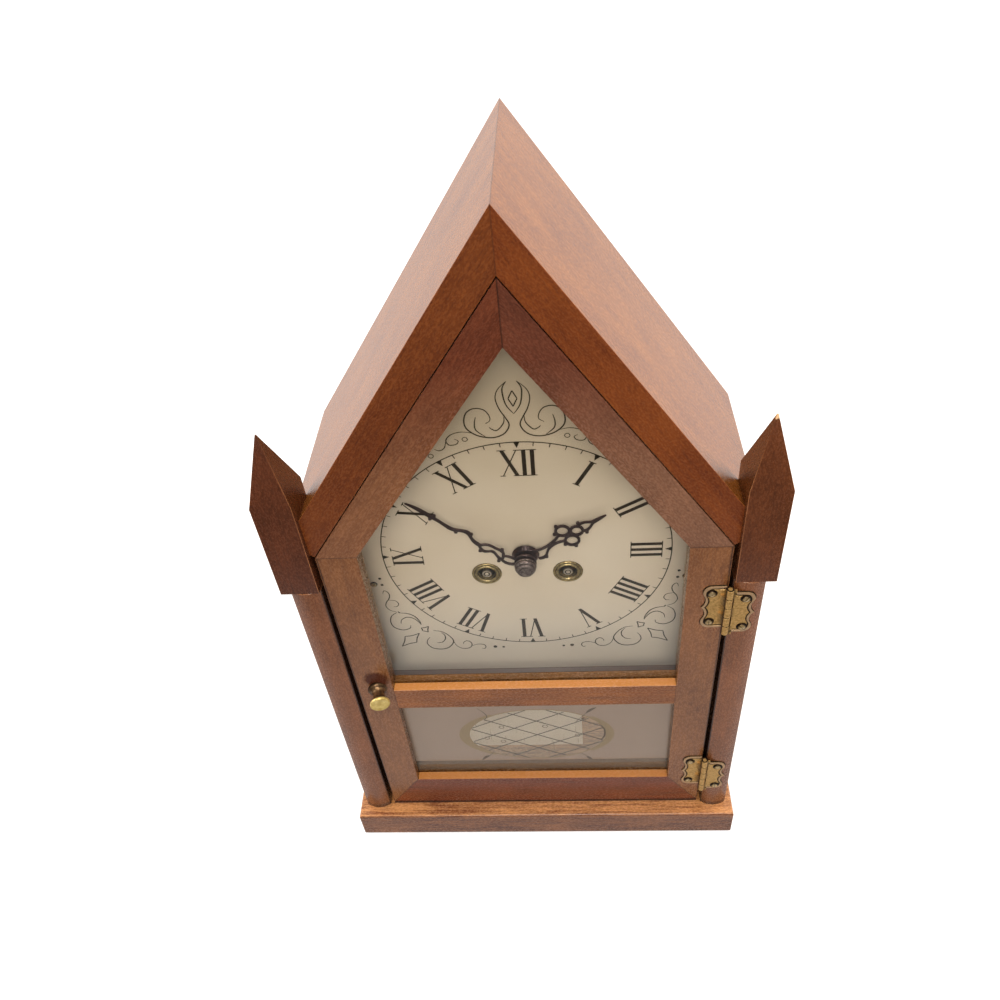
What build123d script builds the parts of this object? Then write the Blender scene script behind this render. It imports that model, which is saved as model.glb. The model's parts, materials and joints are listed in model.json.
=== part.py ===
from build123d import *
import os
from math import atan2, cos, degrees, hypot, radians, sin, sqrt, tan

os.makedirs("parts", exist_ok=True)

# The case, in millimetres. The front looks towards -Y and the base stands on Z = 0.
base_width = 276.0
base_depth = 130.0
base_thick = 25.4
base_easing = 1.6
base_step = 11.6
ridge_height = 495.3
roof_pitch = 55.65
roof_thick = 17.7
eave_inner_x = 113.2
wall_inner_x = 118.0
wall_thick = 9.5
panel_thick = 5.0
panel_side_shares = (0.14, 0.86)
panel_slope_shares = (0.3, 0.75)
rabbet_deep = 6.0
rabbet_gap = 0.3

# The columns and the square finials that stand on them.
column_inner_x = 115.0
column_width = 17.8
column_rise = 3.0
column_proud = 4.1
column_back = 8.0
finial_foot_drop = 223.3
finial_inner_x = 115.6
finial_width = 22.2
finial_deep = 24.7
finial_proud = 3.7
finial_shoulder = 67.2
finial_point = 39.5
finial_tip_flat = 0.8

# The door, its bars, its two panes and the beads behind them.
door_half_width = 112.4
door_thick = 15.0
door_foot_gap = 1.0
door_roof_gap = 1.4
stile_width = 22.4
bottom_rail_top_z = 58.6
mullion_low_share = 0.30406
mullion_height = 20.3
glass_setback = 6.0
glass_thick = 2.0
glass_rabbet = 5.0
glass_play = 0.4
bead_wide = 4.4
bead_thick = 4.0
stop_thick = 6.0
stop_reach = 10.0
stop_gap = 0.3

# The knob, turned in brass.
knob_x = -99.7
knob_rise = 4.9
knob_foot_radius = 6.1
knob_neck_radius = 3.8
knob_disc_radius = 6.35
knob_length = 15.0
knob_disc_thick = 2.2
knob_foot_thick = 1.4

# The butterfly hinges.
hinge_x = 113.4
hinge_proud = 4.0
low_hinge_rise = 43.0
high_hinge_drop = 24.2
knuckle_length = 39.0
knuckle_radius = 2.4
knuckle_count = 5
knuckle_gap = 0.25
pin_radius = 1.2
leaf_thick = 0.9
leaf_reach = 14.8
leaf_height = 36.8
leaf_screw_reach = 9.0
leaf_screw_rise = 12.3
leaf_inner_gap = 0.25
leaf_lobe_shares = ((0.67, 1.0), (0.92, 0.86), (0.93, 0.56))
leaf_hollow_shares = ((0.93, 0.56), (0.85, 0.28), (1.0, 0.0))
hinge_screw_radius = 2.5
hinge_screw_height = 1.1
hinge_shank_radius = 1.1
hinge_shank_length = 9.0

# The dial and what is fixed on it.
dial_setback = 33.8
dial_thick = 1.0
dial_half_width = 106.0
dial_foot_drop = 10.6
dial_edge_gap = 2.0
dial_bore_radius = 4.6
centre_drop = 234.8
cleat_inner_x = 86.0
cleat_thick = 12.2
cleat_foot_drop = 54.5
cleat_top_rise = 61.5
dial_screw_x = 96.0
dial_screw_drop = 24.5
dial_screw_radius = 1.2
dial_screw_length = 9.0
dial_screw_head_radius = 2.3
dial_screw_head = 0.9
grommet_radius = 9.15
grommet_neck_radius = 6.5
grommet_bore_radius = 5.0
grommet_proud = 1.3
grommet_length = 2.2
label_left_x = -72.0
label_width = 103.0
label_setback_share = 0.3753
label_deep_share = 0.5362
label_thick = 0.25

# The plates of the movement and the straps that hold it to the cleats.
plate_half_width = 50.0
plate_foot = 47.5
plate_top = 64.0
plate_corner = 6.0
plate_thick = 2.0
plate_room_share = 0.6112
escape_share = 0.72
motion_share = 0.5465
strap_thick = 2.0
strap_height = 12.0
strap_half_widths = (112.0, 96.0)
strap_screw_inset = 6.5
pillar_x = 44.0
pillar_rises = (-42.0, 54.0)
pillar_radius = 3.0
pillar_tenon_radius = 1.8
nut_across_radius = 3.6
nut_thick = 2.2
running_gap = 0.06
wood_screw_radius = 1.5
wood_screw_length = 9.0
wood_screw_head_radius = 2.6
wood_screw_head = 1.5

# The wheelwork. A gear pair's module sets how far apart its two arbors stand.
winding_x = 24.7
winding_drop = 17.3
great_teeth = 48
great_module = 0.9375
intermediate_teeth = 48
intermediate_module = 0.75
leaf_teeth = 8
centre_teeth = 72
centre_module = 0.5
fine_leaf_teeth = 6
third_teeth = 66
third_module = 0.45
escape_teeth = 32
escape_radius = 11.0
escape_tooth_deep = 2.4
cannon_teeth = 12
minute_teeth = 36
cannon_module = 0.625
minute_leaf_teeth = 10
hour_teeth = 40
star_teeth = 36
star_module = 0.75
fly_half_width = 9.0
fly_thick = 0.6
fly_length_share = 0.4445
arbor_radius = 0.8
pivot_radius = 0.5
centre_arbor_radius = 1.4
lever_arbor_radius = 1.2
stud_radius = 0.9
drum_radius = 20.6
drum_setback_share = 0.4445
drum_end_room = 1.6
winding_radius = 3.0
winding_pivot_radius = 1.6
winding_square = 4.25
winding_reach = 13.6
ratchet_teeth = 20
ratchet_radius = 8.6
ratchet_tooth_deep = 1.5
ratchet_thick = 1.6
click_thick = 1.4
click_gap = 0.25
click_stud_radius = 1.0
click_width = 3.4
click_angle = 40.0
third_arbor_x = -4.0
wheel_thick = 1.2
great_thick = 2.2
pinion_long = 2.6
plate_clear = 1.4
anchor_gap = 0.35
anchor_thick = 1.8
anchor_half_angle = 42.0
anchor_width = 2.4

# Each tooth's outline: shares of the tooth pitch round the wheel, and of the module outwards.
wheel_tooth_shares = ((-0.11, 0.9), (0.11, 0.9), (0.5, -1.9))
pinion_tooth_shares = ((-0.15, -1.6), (-0.07, 0.75), (0.07, 0.75), (0.15, -1.6))

# The hands, at the time that they show.
minute_hand_angle = 308.3
hour_hand_angle = 54.8
hour_hand_lift = 3.4
minute_hand_lift = 6.8
hand_thick = 0.9
hour_hub_radius = 8.2
hour_hub_neck_radius = 6.7
minute_hub_radius = 6.6
hub_thick = 1.6
cannon_radius = 2.4
hour_pipe_radius = 3.5
nut_radius = 6.2
nut_height = 5.4
minute_hand_length = 82.3
hour_hand_length = 58.0
strand_width = 1.6
hand_knob_radius = 1.1

# Each strand of a hand: its middle line in shares of the hand's length, along and then
# across towards later hours, with its widths in shares of strand_width.
minute_strand_shares = (
    (((0.348, -0.045), (0.383, -0.044), (0.442, -0.024), (0.5, 0.011), (0.54, 0.004), (0.6, -0.021),
      (0.68, -0.016), (0.79, -0.003), (1.0, 0.0)), (1.3, 1.5, 1.2, 1.6, 1.3, 1.5, 1.2, 1.4, 0.4)),
    (((0.36, -0.045), (0.303, -0.007), (0.242, -0.006), (0.2, -0.008), (0.163, -0.04)),
     (1.2, 1.0, 1.0, 1.0, 1.1)),
    (((0.36, -0.045), (0.328, -0.074), (0.295, -0.076), (0.262, -0.05), (0.2, -0.066), (0.158, -0.085)),
     (1.2, 1.0, 1.0, 1.0, 1.0, 1.1)),
    (((0.172, -0.034), (0.156, -0.062), (0.162, -0.086)), (1.0, 1.1, 1.0)),
    (((0.165, -0.04), (0.113, -0.021), (0.06, -0.018)), (1.0, 1.1, 1.3)),
    (((0.162, -0.074), (0.105, -0.088), (0.045, -0.06)), (1.0, 1.1, 1.3)),
)
minute_knob_shares = ((0.207, 0.007), (0.163, -0.1), (0.47, 0.012), (0.57, -0.03), (0.328, -0.09),
                      (0.775, 0.016), (0.783, -0.024))
hour_strand_shares = (
    (((0.1, -0.04), (0.25, 0.0), (0.38, -0.02), (0.47, -0.06)), (1.2, 1.1, 1.1, 1.0)),
    (((0.1, 0.09), (0.19, 0.1), (0.25, 0.05), (0.37, 0.02), (0.47, 0.05)), (1.2, 1.0, 1.0, 1.1, 1.0)),
    (((0.69, -0.03), (0.73, -0.055), (0.8, -0.03), (0.87, 0.0)), (1.0, 1.0, 1.0, 0.9)),
    (((0.69, 0.03), (0.73, 0.055), (0.8, 0.03), (0.87, 0.0)), (1.0, 1.0, 1.0, 0.9)),
    (((0.83, 0.0), (0.92, 0.0), (1.0, 0.0)), (1.6, 1.3, 0.4)),
)
hour_ring_shares = ((0.53, -0.082, 0.068), (0.53, 0.082, 0.068), (0.645, 0.0, 0.06))
hour_knob_shares = ((0.515, -0.17), (0.44, -0.09), (0.715, -0.076), (0.515, 0.17), (0.44, 0.09),
                    (0.715, 0.076), (0.18, 0.118))

# The pendulum and the gong.
suspension_rise = 50.8
pendulum_setback_share = 0.393
crutch_length = 31.0
crutch_width = 2.4
crutch_thick = 1.2
fork_width = 8.0
spring_length = 9.0
spring_thick = 0.4
spring_width = 3.0
pendulum_rod_radius = 1.1
bob_z = 112.0
bob_radius = 19.0
bob_thick = 7.0
bob_rim = 1.0
rating_nut_radius = 3.4
rating_nut_thick = 3.0
rating_thread = 8.0
bracket_half_width = 3.0
bracket_rise = 6.5
bracket_thick = 3.0
gong_x = -76.0
gong_foot_z = 62.0
gong_block_drop = 55.5
gong_block_height = 18.0
gong_block_half_width = 8.0
gong_block_deep_share = 0.786
gong_rod_radius = 1.2
gong_rod_spacing_share = 0.262
gong_rod_setback_share = 0.3493
hammer_x = -30.0
hammer_drop = 44.0
hammer_head_drop = 74.5
hammer_head_radius = 4.0
hammer_head_length = 9.0
hammer_strike_gap = 1.0
hammer_arm_width = 2.6
hammer_arm_thick = 1.2
hammer_boss_radius = 2.6
cut_overrun = 2.0

# Planes and corners that several pieces share.
face = -base_depth / 2 + base_step
rear = base_depth / 2
roof_slope = tan(radians(roof_pitch))
roof_cos = cos(radians(roof_pitch))
roof_sin = sin(radians(roof_pitch))
inner_apex = ridge_height - roof_thick / roof_cos
dial_front = face + dial_setback
dial_back = dial_front + dial_thick
cleat_back = dial_back + cleat_thick
plate_front = cleat_back + strap_thick
plate_inside = plate_front + plate_thick
panel_rear = rear - wood_screw_head
panel_front = panel_rear - panel_thick
case_room = panel_front - face
train_room = panel_front - plate_inside - plate_thick
plate_room = train_room * plate_room_share
rear_room = train_room - plate_room
back_plate_front = plate_inside + plate_room
back_plate_rear = back_plate_front + plate_thick
drum_setback = plate_room * drum_setback_share
fly_length = plate_room * fly_length_share
pendulum_setback = rear_room * pendulum_setback_share
gong_block_deep = rear_room * gong_block_deep_share
gong_rod_spacing = rear_room * gong_rod_spacing_share
gong_rod_setback = rear_room * gong_rod_setback_share
finial_foot_z = ridge_height - finial_foot_drop
mullion_low_z = ridge_height * mullion_low_share
mullion_high_z = mullion_low_z + mullion_height
knob_z = mullion_high_z + knob_rise
hinge_heights = (base_thick + low_hinge_rise, finial_foot_z - high_hinge_drop)
centre_z = ridge_height - centre_drop
dial_foot_z = mullion_low_z - dial_foot_drop
dial_screw_z = centre_z - dial_screw_drop
gong_block_z = centre_z - gong_block_drop
hammer_head_z = centre_z - hammer_head_drop
door_foot_z = base_thick + door_foot_gap
door_apex = inner_apex - door_roof_gap / roof_cos
shoulder_z = door_apex - roof_slope * door_half_width
opening_half_width = door_half_width - stile_width
opening_apex = shoulder_z + roof_slope * opening_half_width


def prism(outline, front, back):
    """A solid between two depths, from an outline of (x, z) corners."""
    wire = Wire.make_polygon([(x, front, z) for x, z in outline])
    return extrude(Face(wire), amount=back - front, dir=(0, 1, 0))


def block(left, right, front, back, low, high):
    """A plain box between the named planes."""
    return prism([(left, low), (right, low), (right, high), (left, high)], front, back)


def rod(x, z, radius, front, back):
    """A round bar along Y."""
    bar = Cylinder(radius, back - front, align=(Align.CENTER, Align.CENTER, Align.MIN))
    return Pos(x, back, z) * Rot(90, 0, 0) * bar


def bored(piece, x, z, radius, front, back):
    """A piece with a hole right through it along Y."""
    return piece - rod(x, z, radius, front - cut_overrun, back + cut_overrun)


def turned(x, z, profile):
    """A turned piece on an axis along Y, from (radius, y) corners."""
    wire = Wire.make_polygon([(x + radius, y, z) for radius, y in profile])
    return revolve(Face(wire), Axis((x, 0, z), (0, 1, 0)), 360)


def mirrored(outline, side):
    """An outline moved to the left side where side is -1."""
    return [(side * x, z) for x, z in outline]


def gable(half_width, foot_z, inset):
    """A house-shaped outline whose slopes run inset from the roof's inner faces."""
    apex = inner_apex - inset / roof_cos
    shoulder = apex - roof_slope * half_width
    return [(-half_width, foot_z), (half_width, foot_z), (half_width, shoulder),
            (0, apex), (-half_width, shoulder)]


def save(name, *solids):
    """Writes one node, which may hold several like solids."""
    shapes = [solid for item in solids for solid in item.solids()]
    export_step(Compound(shapes) if len(shapes) > 1 else shapes[0], f"parts/{name}.step")


SIDES = ((-1, "left"), (1, "right"))


# The wooden case.

def make_base_board():
    """One thick slab with its upper and front edges eased by sandpaper."""
    slab = Pos(0, 0, base_thick / 2) * Box(base_width, base_depth, base_thick)
    upper = slab.edges().group_by(Axis.Z)[-1]
    return fillet(upper, base_easing)


def panel_outline(gap):
    """The back panel's outline, which laps into the rabbets by their depth less the gap."""
    return gable(wall_inner_x + rabbet_deep - gap, base_thick + gap, gap - rabbet_deep)


def rear_rabbet():
    """The room that the back panel needs in the walls and the roof."""
    return prism(panel_outline(0), panel_front, rear + cut_overrun)


def finial_notch(side):
    """The corner that walls and roof boards give up to the finial block."""
    inner = finial_inner_x
    outer = finial_inner_x + finial_width + cut_overrun
    outline = [(inner, finial_foot_z), (outer, finial_foot_z),
               (outer, ridge_height), (inner, ridge_height)]
    return prism(mirrored(outline, side), face - finial_proud - cut_overrun,
                 face - finial_proud + finial_deep)


def eave_outer():
    """The lower outer corner of a roof board, whose end is cut square."""
    low_z = inner_apex - roof_slope * eave_inner_x
    return eave_inner_x + roof_thick * roof_sin, low_z + roof_thick * roof_cos


def make_roof_board(side):
    """A deep board, mitred at the ridge and notched round the finial."""
    low_z = inner_apex - roof_slope * eave_inner_x
    outline = [(0, ridge_height), eave_outer(), (eave_inner_x, low_z), (0, inner_apex)]
    return prism(mirrored(outline, side), face, rear) - finial_notch(side) - rear_rabbet()


def make_side_wall(side):
    """A wall that reaches from the base up to the square end of its roof board."""
    low_z = inner_apex - roof_slope * eave_inner_x
    outer_x = wall_inner_x + wall_thick
    rise = roof_cos / roof_sin
    outline = [(wall_inner_x, base_thick), (outer_x, base_thick),
               (outer_x, low_z + rise * (outer_x - eave_inner_x)),
               (wall_inner_x, low_z + rise * (wall_inner_x - eave_inner_x))]
    wall = prism(mirrored(outline, side), face + column_back, rear)
    return wall - finial_notch(side) - rear_rabbet()


def column_crown():
    """The radius of a column's rounded front."""
    half = column_width / 2
    return (half ** 2 + column_rise ** 2) / (2 * column_rise)


def make_column(side):
    """A post whose front is part of a circle, standing on the base."""
    middle = column_inner_x + column_width / 2
    crown = face - column_proud
    bar = block(column_inner_x, column_inner_x + column_width, crown - cut_overrun,
                face + column_back, base_thick, finial_foot_z)
    radius = column_crown()
    height = finial_foot_z - base_thick
    round_bar = Cylinder(radius, height, align=(Align.CENTER, Align.CENTER, Align.MIN))
    round_bar = Pos(middle, crown + radius, base_thick) * round_bar
    chord = crown + column_rise
    square_back = block(column_inner_x, column_inner_x + column_width, chord,
                        face + column_back, base_thick, finial_foot_z)
    column = (bar & round_bar) + square_back
    return column if side > 0 else mirror(column, Plane.YZ)


def pyramid(half_width, half_deep, half_tip, foot, rise):
    """A tall four-sided point, cut off to a small flat at its tip."""
    corners = ((-1, -1), (1, -1), (1, 1), (-1, 1))
    low = [(half_width * a, half_deep * b, foot) for a, b in corners]
    high = [(half_tip * a, half_tip * b, foot + rise) for a, b in corners]
    sides = [(low[i], low[i - 3], high[i - 3], high[i]) for i in range(len(corners))]
    faces = [Face(Wire.make_polygon(ring)) for ring in (low, high, *sides)]
    return Solid(Shell(faces))


def make_finial(side):
    """A square block with a tall pyramid, standing on the column."""
    middle_x = finial_inner_x + finial_width / 2
    middle_y = face - finial_proud + finial_deep / 2
    body = Box(finial_width, finial_deep, finial_shoulder,
               align=(Align.CENTER, Align.CENTER, Align.MIN))
    point = pyramid(finial_width / 2, finial_deep / 2, finial_tip_flat / 2, finial_shoulder, finial_point)
    return Pos(side * middle_x, middle_y, finial_foot_z) * (body + point)


def panel_screw_places():
    """Where the back panel is screwed to walls and roof: two a side and two a slope."""
    inset = rabbet_deep - wood_screw_head_radius - rabbet_gap
    shoulder = inner_apex - roof_slope * wall_inner_x
    places = [(wall_inner_x + inset, base_thick + share * (shoulder - base_thick))
              for share in panel_side_shares]
    for share in panel_slope_shares:
        x = eave_inner_x * share
        places.append((x, inner_apex - roof_slope * x + inset / roof_cos))
    return [(side * x, z) for side in (-1, 1) for x, z in places]


def make_back_panel():
    """A thin board let into the rear, with a hole for each screw."""
    panel = prism(panel_outline(rabbet_gap), panel_front, panel_rear)
    for x, z in panel_screw_places():
        panel -= rod(x, z, wood_screw_radius + running_gap, panel_front - cut_overrun,
                     panel_rear + cut_overrun)
    return panel


def wood_screw(x, z, head_y, way):
    """A round-headed screw whose shank runs along Y, forwards where way is -1."""
    head_end = head_y - way * wood_screw_head
    tip = head_y + way * wood_screw_length
    head = rod(x, z, wood_screw_head_radius, min(head_y, head_end), max(head_y, head_end))
    return head + rod(x, z, wood_screw_radius, min(head_y, tip), max(head_y, tip))


def screw_hole(x, z, head_y, way):
    """The hole that a wood screw's shank takes."""
    tip = head_y + way * (wood_screw_length + running_gap)
    mouth = head_y - way * cut_overrun
    return rod(x, z, wood_screw_radius + running_gap, min(mouth, tip), max(mouth, tip))


def make_door_stop(side):
    """A strip inside the wall that the closed door rests against."""
    front = face + door_thick + stop_gap
    outer = wall_inner_x
    outline = [(outer - stop_reach, base_thick), (outer, base_thick),
               (outer, finial_foot_z), (outer - stop_reach, finial_foot_z)]
    return prism(mirrored(outline, side), front, front + stop_thick)


def make_label():
    """A sheet of paper on the floor of the case."""
    front = face + case_room * label_setback_share
    back = front + case_room * label_deep_share
    return block(label_left_x, label_left_x + label_width, front, back,
                 base_thick, base_thick + label_thick)


# The door.

def upper_opening(grow):
    """The upper pane's outline, grown on every side."""
    half = opening_half_width + grow
    apex = opening_apex + grow / roof_cos
    shoulder = apex - roof_slope * half
    low = mullion_high_z - grow
    return [(-half, low), (half, low), (half, shoulder), (0, apex), (-half, shoulder)]


def lower_opening(grow):
    """The lower pane's outline, grown on every side."""
    half = opening_half_width + grow
    low = bottom_rail_top_z - grow
    high = mullion_low_z + grow
    return [(-half, low), (half, low), (half, high), (-half, high)]


def door_bar(outline):
    """A bar of the frame, with the rabbets for both panes cut from its back."""
    bar = prism(outline, face, face + door_thick)
    for opening in (upper_opening(glass_rabbet), lower_opening(glass_rabbet)):
        bar -= prism(opening, face + glass_setback, face + door_thick + cut_overrun)
    return bar


def make_stile(side):
    """An upright, level at the shoulder and mitred to the bottom rail."""
    outer, inner = door_half_width, opening_half_width
    outline = [(outer, door_foot_z), (outer, shoulder_z), (inner, shoulder_z),
               (inner, bottom_rail_top_z)]
    return door_bar(mirrored(outline, side))


def make_slanted_rail(side):
    """An upper rail, mitred at the apex and cut level at the shoulder."""
    outline = [(0, door_apex), (door_half_width, shoulder_z),
               (opening_half_width, shoulder_z), (0, opening_apex)]
    return door_bar(mirrored(outline, side))


def make_bottom_rail():
    """The lower rail between its two mitres."""
    outer, inner = door_half_width, opening_half_width
    return door_bar([(-outer, door_foot_z), (outer, door_foot_z),
                     (inner, bottom_rail_top_z), (-inner, bottom_rail_top_z)])


def make_mullion():
    """The bar between the panes."""
    inner = opening_half_width
    return door_bar([(-inner, mullion_low_z), (inner, mullion_low_z),
                     (inner, mullion_high_z), (-inner, mullion_high_z)])


def make_pane(opening):
    """A sheet of glass, a little smaller than its rabbet."""
    front = face + glass_setback
    return prism(opening(glass_rabbet - glass_play), front, front + glass_thick)


def make_beads(opening):
    """Strips round a pane's back, cut apart at the corners."""
    front = face + glass_setback + glass_thick
    outer = opening(glass_rabbet)
    inner = opening(glass_rabbet - bead_wide)
    count = len(outer)
    strips = []
    for i in range(count):
        j = (i + 1) % count
        strips.append(prism([outer[i], outer[j], inner[j], inner[i]], front, front + bead_thick))
    return strips


def make_knob():
    """A spool neck with a flat disc, turned in brass."""
    foot = face
    end = face - knob_length
    disc = end + knob_disc_thick
    return turned(knob_x, knob_z, [
        (0, foot), (knob_foot_radius, foot), (knob_foot_radius, foot - knob_foot_thick),
        (knob_neck_radius, foot - knob_length * 0.22),
        (knob_neck_radius, foot - knob_length * 0.5),
        (knob_neck_radius * 1.2, foot - knob_length * 0.7),
        (knob_disc_radius * 0.88, disc), (knob_disc_radius, disc - knob_disc_thick * 0.25),
        (knob_disc_radius, end + knob_disc_thick * 0.25), (knob_disc_radius * 0.92, end), (0, end)])


# The hinges.

def leaf_face(side, middle_z, base_y, inner):
    """A butterfly wing: two round lobes with a pointed cusp between hollow curves."""
    half = leaf_height / 2

    def point(reach_share, rise_share):
        return hinge_x + side * leaf_reach * reach_share, base_y, middle_z + half * rise_share

    edges = []
    for way in (1, -1):
        lobe = [point(reach, way * rise) for reach, rise in leaf_lobe_shares]
        hollow = [point(reach, way * rise) for reach, rise in leaf_hollow_shares]
        edges += [Line((inner, base_y, middle_z), (inner, base_y, middle_z + way * half)),
                  Line((inner, base_y, middle_z + way * half), lobe[0]),
                  ThreePointArc(*lobe), ThreePointArc(*hollow)]
    return Face(Wire(edges))


def make_leaf(side, middle_z, base_y, inner):
    """A thin brass leaf lying on the wood behind it, drilled for its two screws."""
    leaf = extrude(leaf_face(side, middle_z, base_y, inner), amount=leaf_thick, dir=(0, -1, 0))
    for way in (-1, 1):
        leaf = bored(leaf, hinge_x + side * leaf_screw_reach, middle_z + way * leaf_screw_rise,
                     hinge_shank_radius + running_gap, base_y - leaf_thick, base_y)
    return leaf


def upright(x, y, radius, low, high):
    """A round bar along Z."""
    bar = Cylinder(radius, high - low, align=(Align.CENTER, Align.CENTER, Align.MIN))
    return Pos(x, y, low) * bar


def floor_prism(outline, low, high):
    """A solid between two heights, from an outline of (x, y) corners."""
    wire = Wire.make_polygon([(x, y, low) for x, y in outline])
    return extrude(Face(wire), amount=high - low, dir=(0, 0, 1))


def knuckle_spans(middle_z, first):
    """The heights of every second knuckle, with a gap between neighbours."""
    pitch = knuckle_length / knuckle_count
    foot = middle_z - knuckle_length / 2
    return [(foot + i * pitch + knuckle_gap / 2, foot + (i + 1) * pitch - knuckle_gap / 2)
            for i in range(first, knuckle_count, 2)]


def hinge_axis_y():
    """How far forward the hinge pin stands."""
    return face - hinge_proud


def make_door_leaf(middle_z):
    """The leaf on the stile, with necks that reach forward to its knuckles."""
    y = hinge_axis_y()
    inner = hinge_x - knuckle_radius / 2
    leaf = make_leaf(-1, middle_z, face, inner)
    for low, high in knuckle_spans(middle_z, 1):
        neck = [(inner - knuckle_radius * 1.4, face), (inner - knuckle_radius * 1.4, face - leaf_thick),
                (hinge_x - knuckle_radius * 0.95, y), (hinge_x, y + knuckle_radius * 0.95),
                (inner, face)]
        knuckle = floor_prism(neck, low, high) + upright(hinge_x, y, knuckle_radius, low, high)
        leaf += knuckle
    return leaf - upright(hinge_x, y, pin_radius + running_gap, middle_z - knuckle_length,
                          middle_z + knuckle_length)


def make_case_leaf(middle_z):
    """The leaf on the column's crown, with tabs that run into its knuckles."""
    y = hinge_axis_y()
    base_y = face - column_proud
    inner = hinge_x + knuckle_radius + leaf_inner_gap
    leaf = make_leaf(1, middle_z, base_y, inner)
    for low, high in knuckle_spans(middle_z, 0):
        tab = block(hinge_x + pin_radius, inner + leaf_thick, base_y - leaf_thick, base_y, low, high)
        leaf += tab + upright(hinge_x, y, knuckle_radius, low, high)
    return leaf - upright(hinge_x, y, pin_radius, middle_z - knuckle_length,
                          middle_z + knuckle_length)


def make_hinge_pin(middle_z):
    """A plain pin with both ends flush."""
    return upright(hinge_x, hinge_axis_y(), pin_radius, middle_z - knuckle_length / 2,
                   middle_z + knuckle_length / 2)


def hinge_screw_places(side):
    """The four screws of the leaves on one side."""
    x = hinge_x + side * leaf_screw_reach
    return [(x, middle + way * leaf_screw_rise) for middle in hinge_heights for way in (-1, 1)]


def make_hinge_screw(x, z, base_y):
    """A domed screw whose head sits on the leaf."""
    seat = base_y - leaf_thick
    tip = base_y + hinge_shank_length
    return turned(x, z, [
        (0, tip), (hinge_shank_radius, tip), (hinge_shank_radius, seat), (hinge_screw_radius, seat),
        (hinge_screw_radius * 0.8, seat - hinge_screw_height * 0.7), (0, seat - hinge_screw_height)])


def hinge_screw_holes(side, base_y):
    """The pilot holes for the screws of one side."""
    return [rod(x, z, hinge_shank_radius + running_gap, base_y - cut_overrun,
                base_y + hinge_shank_length + running_gap) for x, z in hinge_screw_places(side)]


# The dial and its fittings.

def winding_place(side):
    """The place of a winding arbor, seen from the front."""
    return side * winding_x, centre_z - winding_drop


def make_dial():
    """A thin plate in the shape of the gable, bored for the hands and the key."""
    plate = prism(gable(dial_half_width, dial_foot_z, dial_edge_gap), dial_front, dial_back)
    ends = (dial_front - cut_overrun, dial_back + cut_overrun)
    plate -= rod(0, centre_z, dial_bore_radius, *ends)
    for side, _ in SIDES:
        plate -= rod(*winding_place(side), grommet_neck_radius + running_gap, *ends)
        plate -= rod(side * dial_screw_x, dial_screw_z, dial_screw_radius + running_gap, *ends)
    return plate


def make_cleat(side):
    """A block between wall and movement, cut to the slope of the roof."""
    inside = prism(gable(wall_inner_x, base_thick, 0), dial_back, cleat_back)
    foot = centre_z - cleat_foot_drop
    top = centre_z + cleat_top_rise
    outline = [(cleat_inner_x, foot), (wall_inner_x, foot), (wall_inner_x, top), (cleat_inner_x, top)]
    cleat = prism(mirrored(outline, side), dial_back, cleat_back) & inside
    cleat -= rod(side * dial_screw_x, dial_screw_z, dial_screw_radius + running_gap,
                 dial_back - cut_overrun, dial_front + dial_screw_length + running_gap)
    for x, z in strap_screw_places():
        if x * side > 0:
            cleat -= screw_hole(x, z, plate_front, -1)
    return cleat


def make_dial_screw(side):
    """A small round-headed screw through the dial's edge."""
    tip = dial_front + dial_screw_length
    return turned(side * dial_screw_x, dial_screw_z, [
        (0, tip), (dial_screw_radius, tip), (dial_screw_radius, dial_front),
        (dial_screw_head_radius, dial_front),
        (dial_screw_head_radius * 0.8, dial_front - dial_screw_head * 0.7),
        (0, dial_front - dial_screw_head)])


def make_grommet(side):
    """A flared brass ring that lines a winding hole."""
    x, z = winding_place(side)
    back = dial_front + grommet_length
    crest = dial_front - grommet_proud
    middle = (grommet_radius + grommet_neck_radius) / 2
    return turned(x, z, [
        (grommet_bore_radius, back), (grommet_neck_radius, back), (grommet_neck_radius, dial_front),
        (grommet_radius, dial_front), (grommet_radius * 0.97, dial_front - grommet_proud * 0.5),
        (middle, crest), (grommet_neck_radius, crest + grommet_proud * 0.2),
        (grommet_bore_radius, dial_front - grommet_proud * 0.2)])


# The hands.

def ribbon(points, widths, front, back):
    """A strip that follows points along its middle, with a width at each of them."""
    left, right = [], []
    last = len(points) - 1
    for i, (x, z) in enumerate(points):
        ax, az = points[max(i - 1, 0)]
        bx, bz = points[min(i + 1, last)]
        length = hypot(bx - ax, bz - az)
        nx, nz = (az - bz) / length, (bx - ax) / length
        half = widths[i] / 2
        left.append((x + nx * half, front, z + nz * half))
        right.append((x - nx * half, front, z - nz * half))
    sides = [Spline(*left), Line(left[-1], right[-1]), Spline(*reversed(right)), Line(right[0], left[0])]
    return extrude(Face(Wire(sides)), amount=back - front, dir=(0, 1, 0))


def strand(length, shares, taper_shares, front, back):
    """A ribbon from (along, across) shares of a hand's length."""
    points = [(length * across, length * along) for along, across in shares]
    return ribbon(points, [strand_width * share for share in taper_shares], front, back)


def ring(length, along_share, across_share, radius_share, front, back):
    """A round piercing with its rim."""
    x, z = length * across_share, length * along_share
    radius = length * radius_share
    rim = rod(x, z, radius + strand_width / 2, front, back)
    return bored(rim, x, z, radius - strand_width / 2, front, back)


def knob(length, along_share, across_share, front, back):
    """A small round boss on a strand."""
    return rod(length * across_share, length * along_share, hand_knob_radius, front, back)


def turn_to(piece, angle):
    """Turns a piece about the centre arbor, clockwise as seen from the front."""
    return Pos(0, 0, centre_z) * Rot(0, angle, 0) * piece


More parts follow.
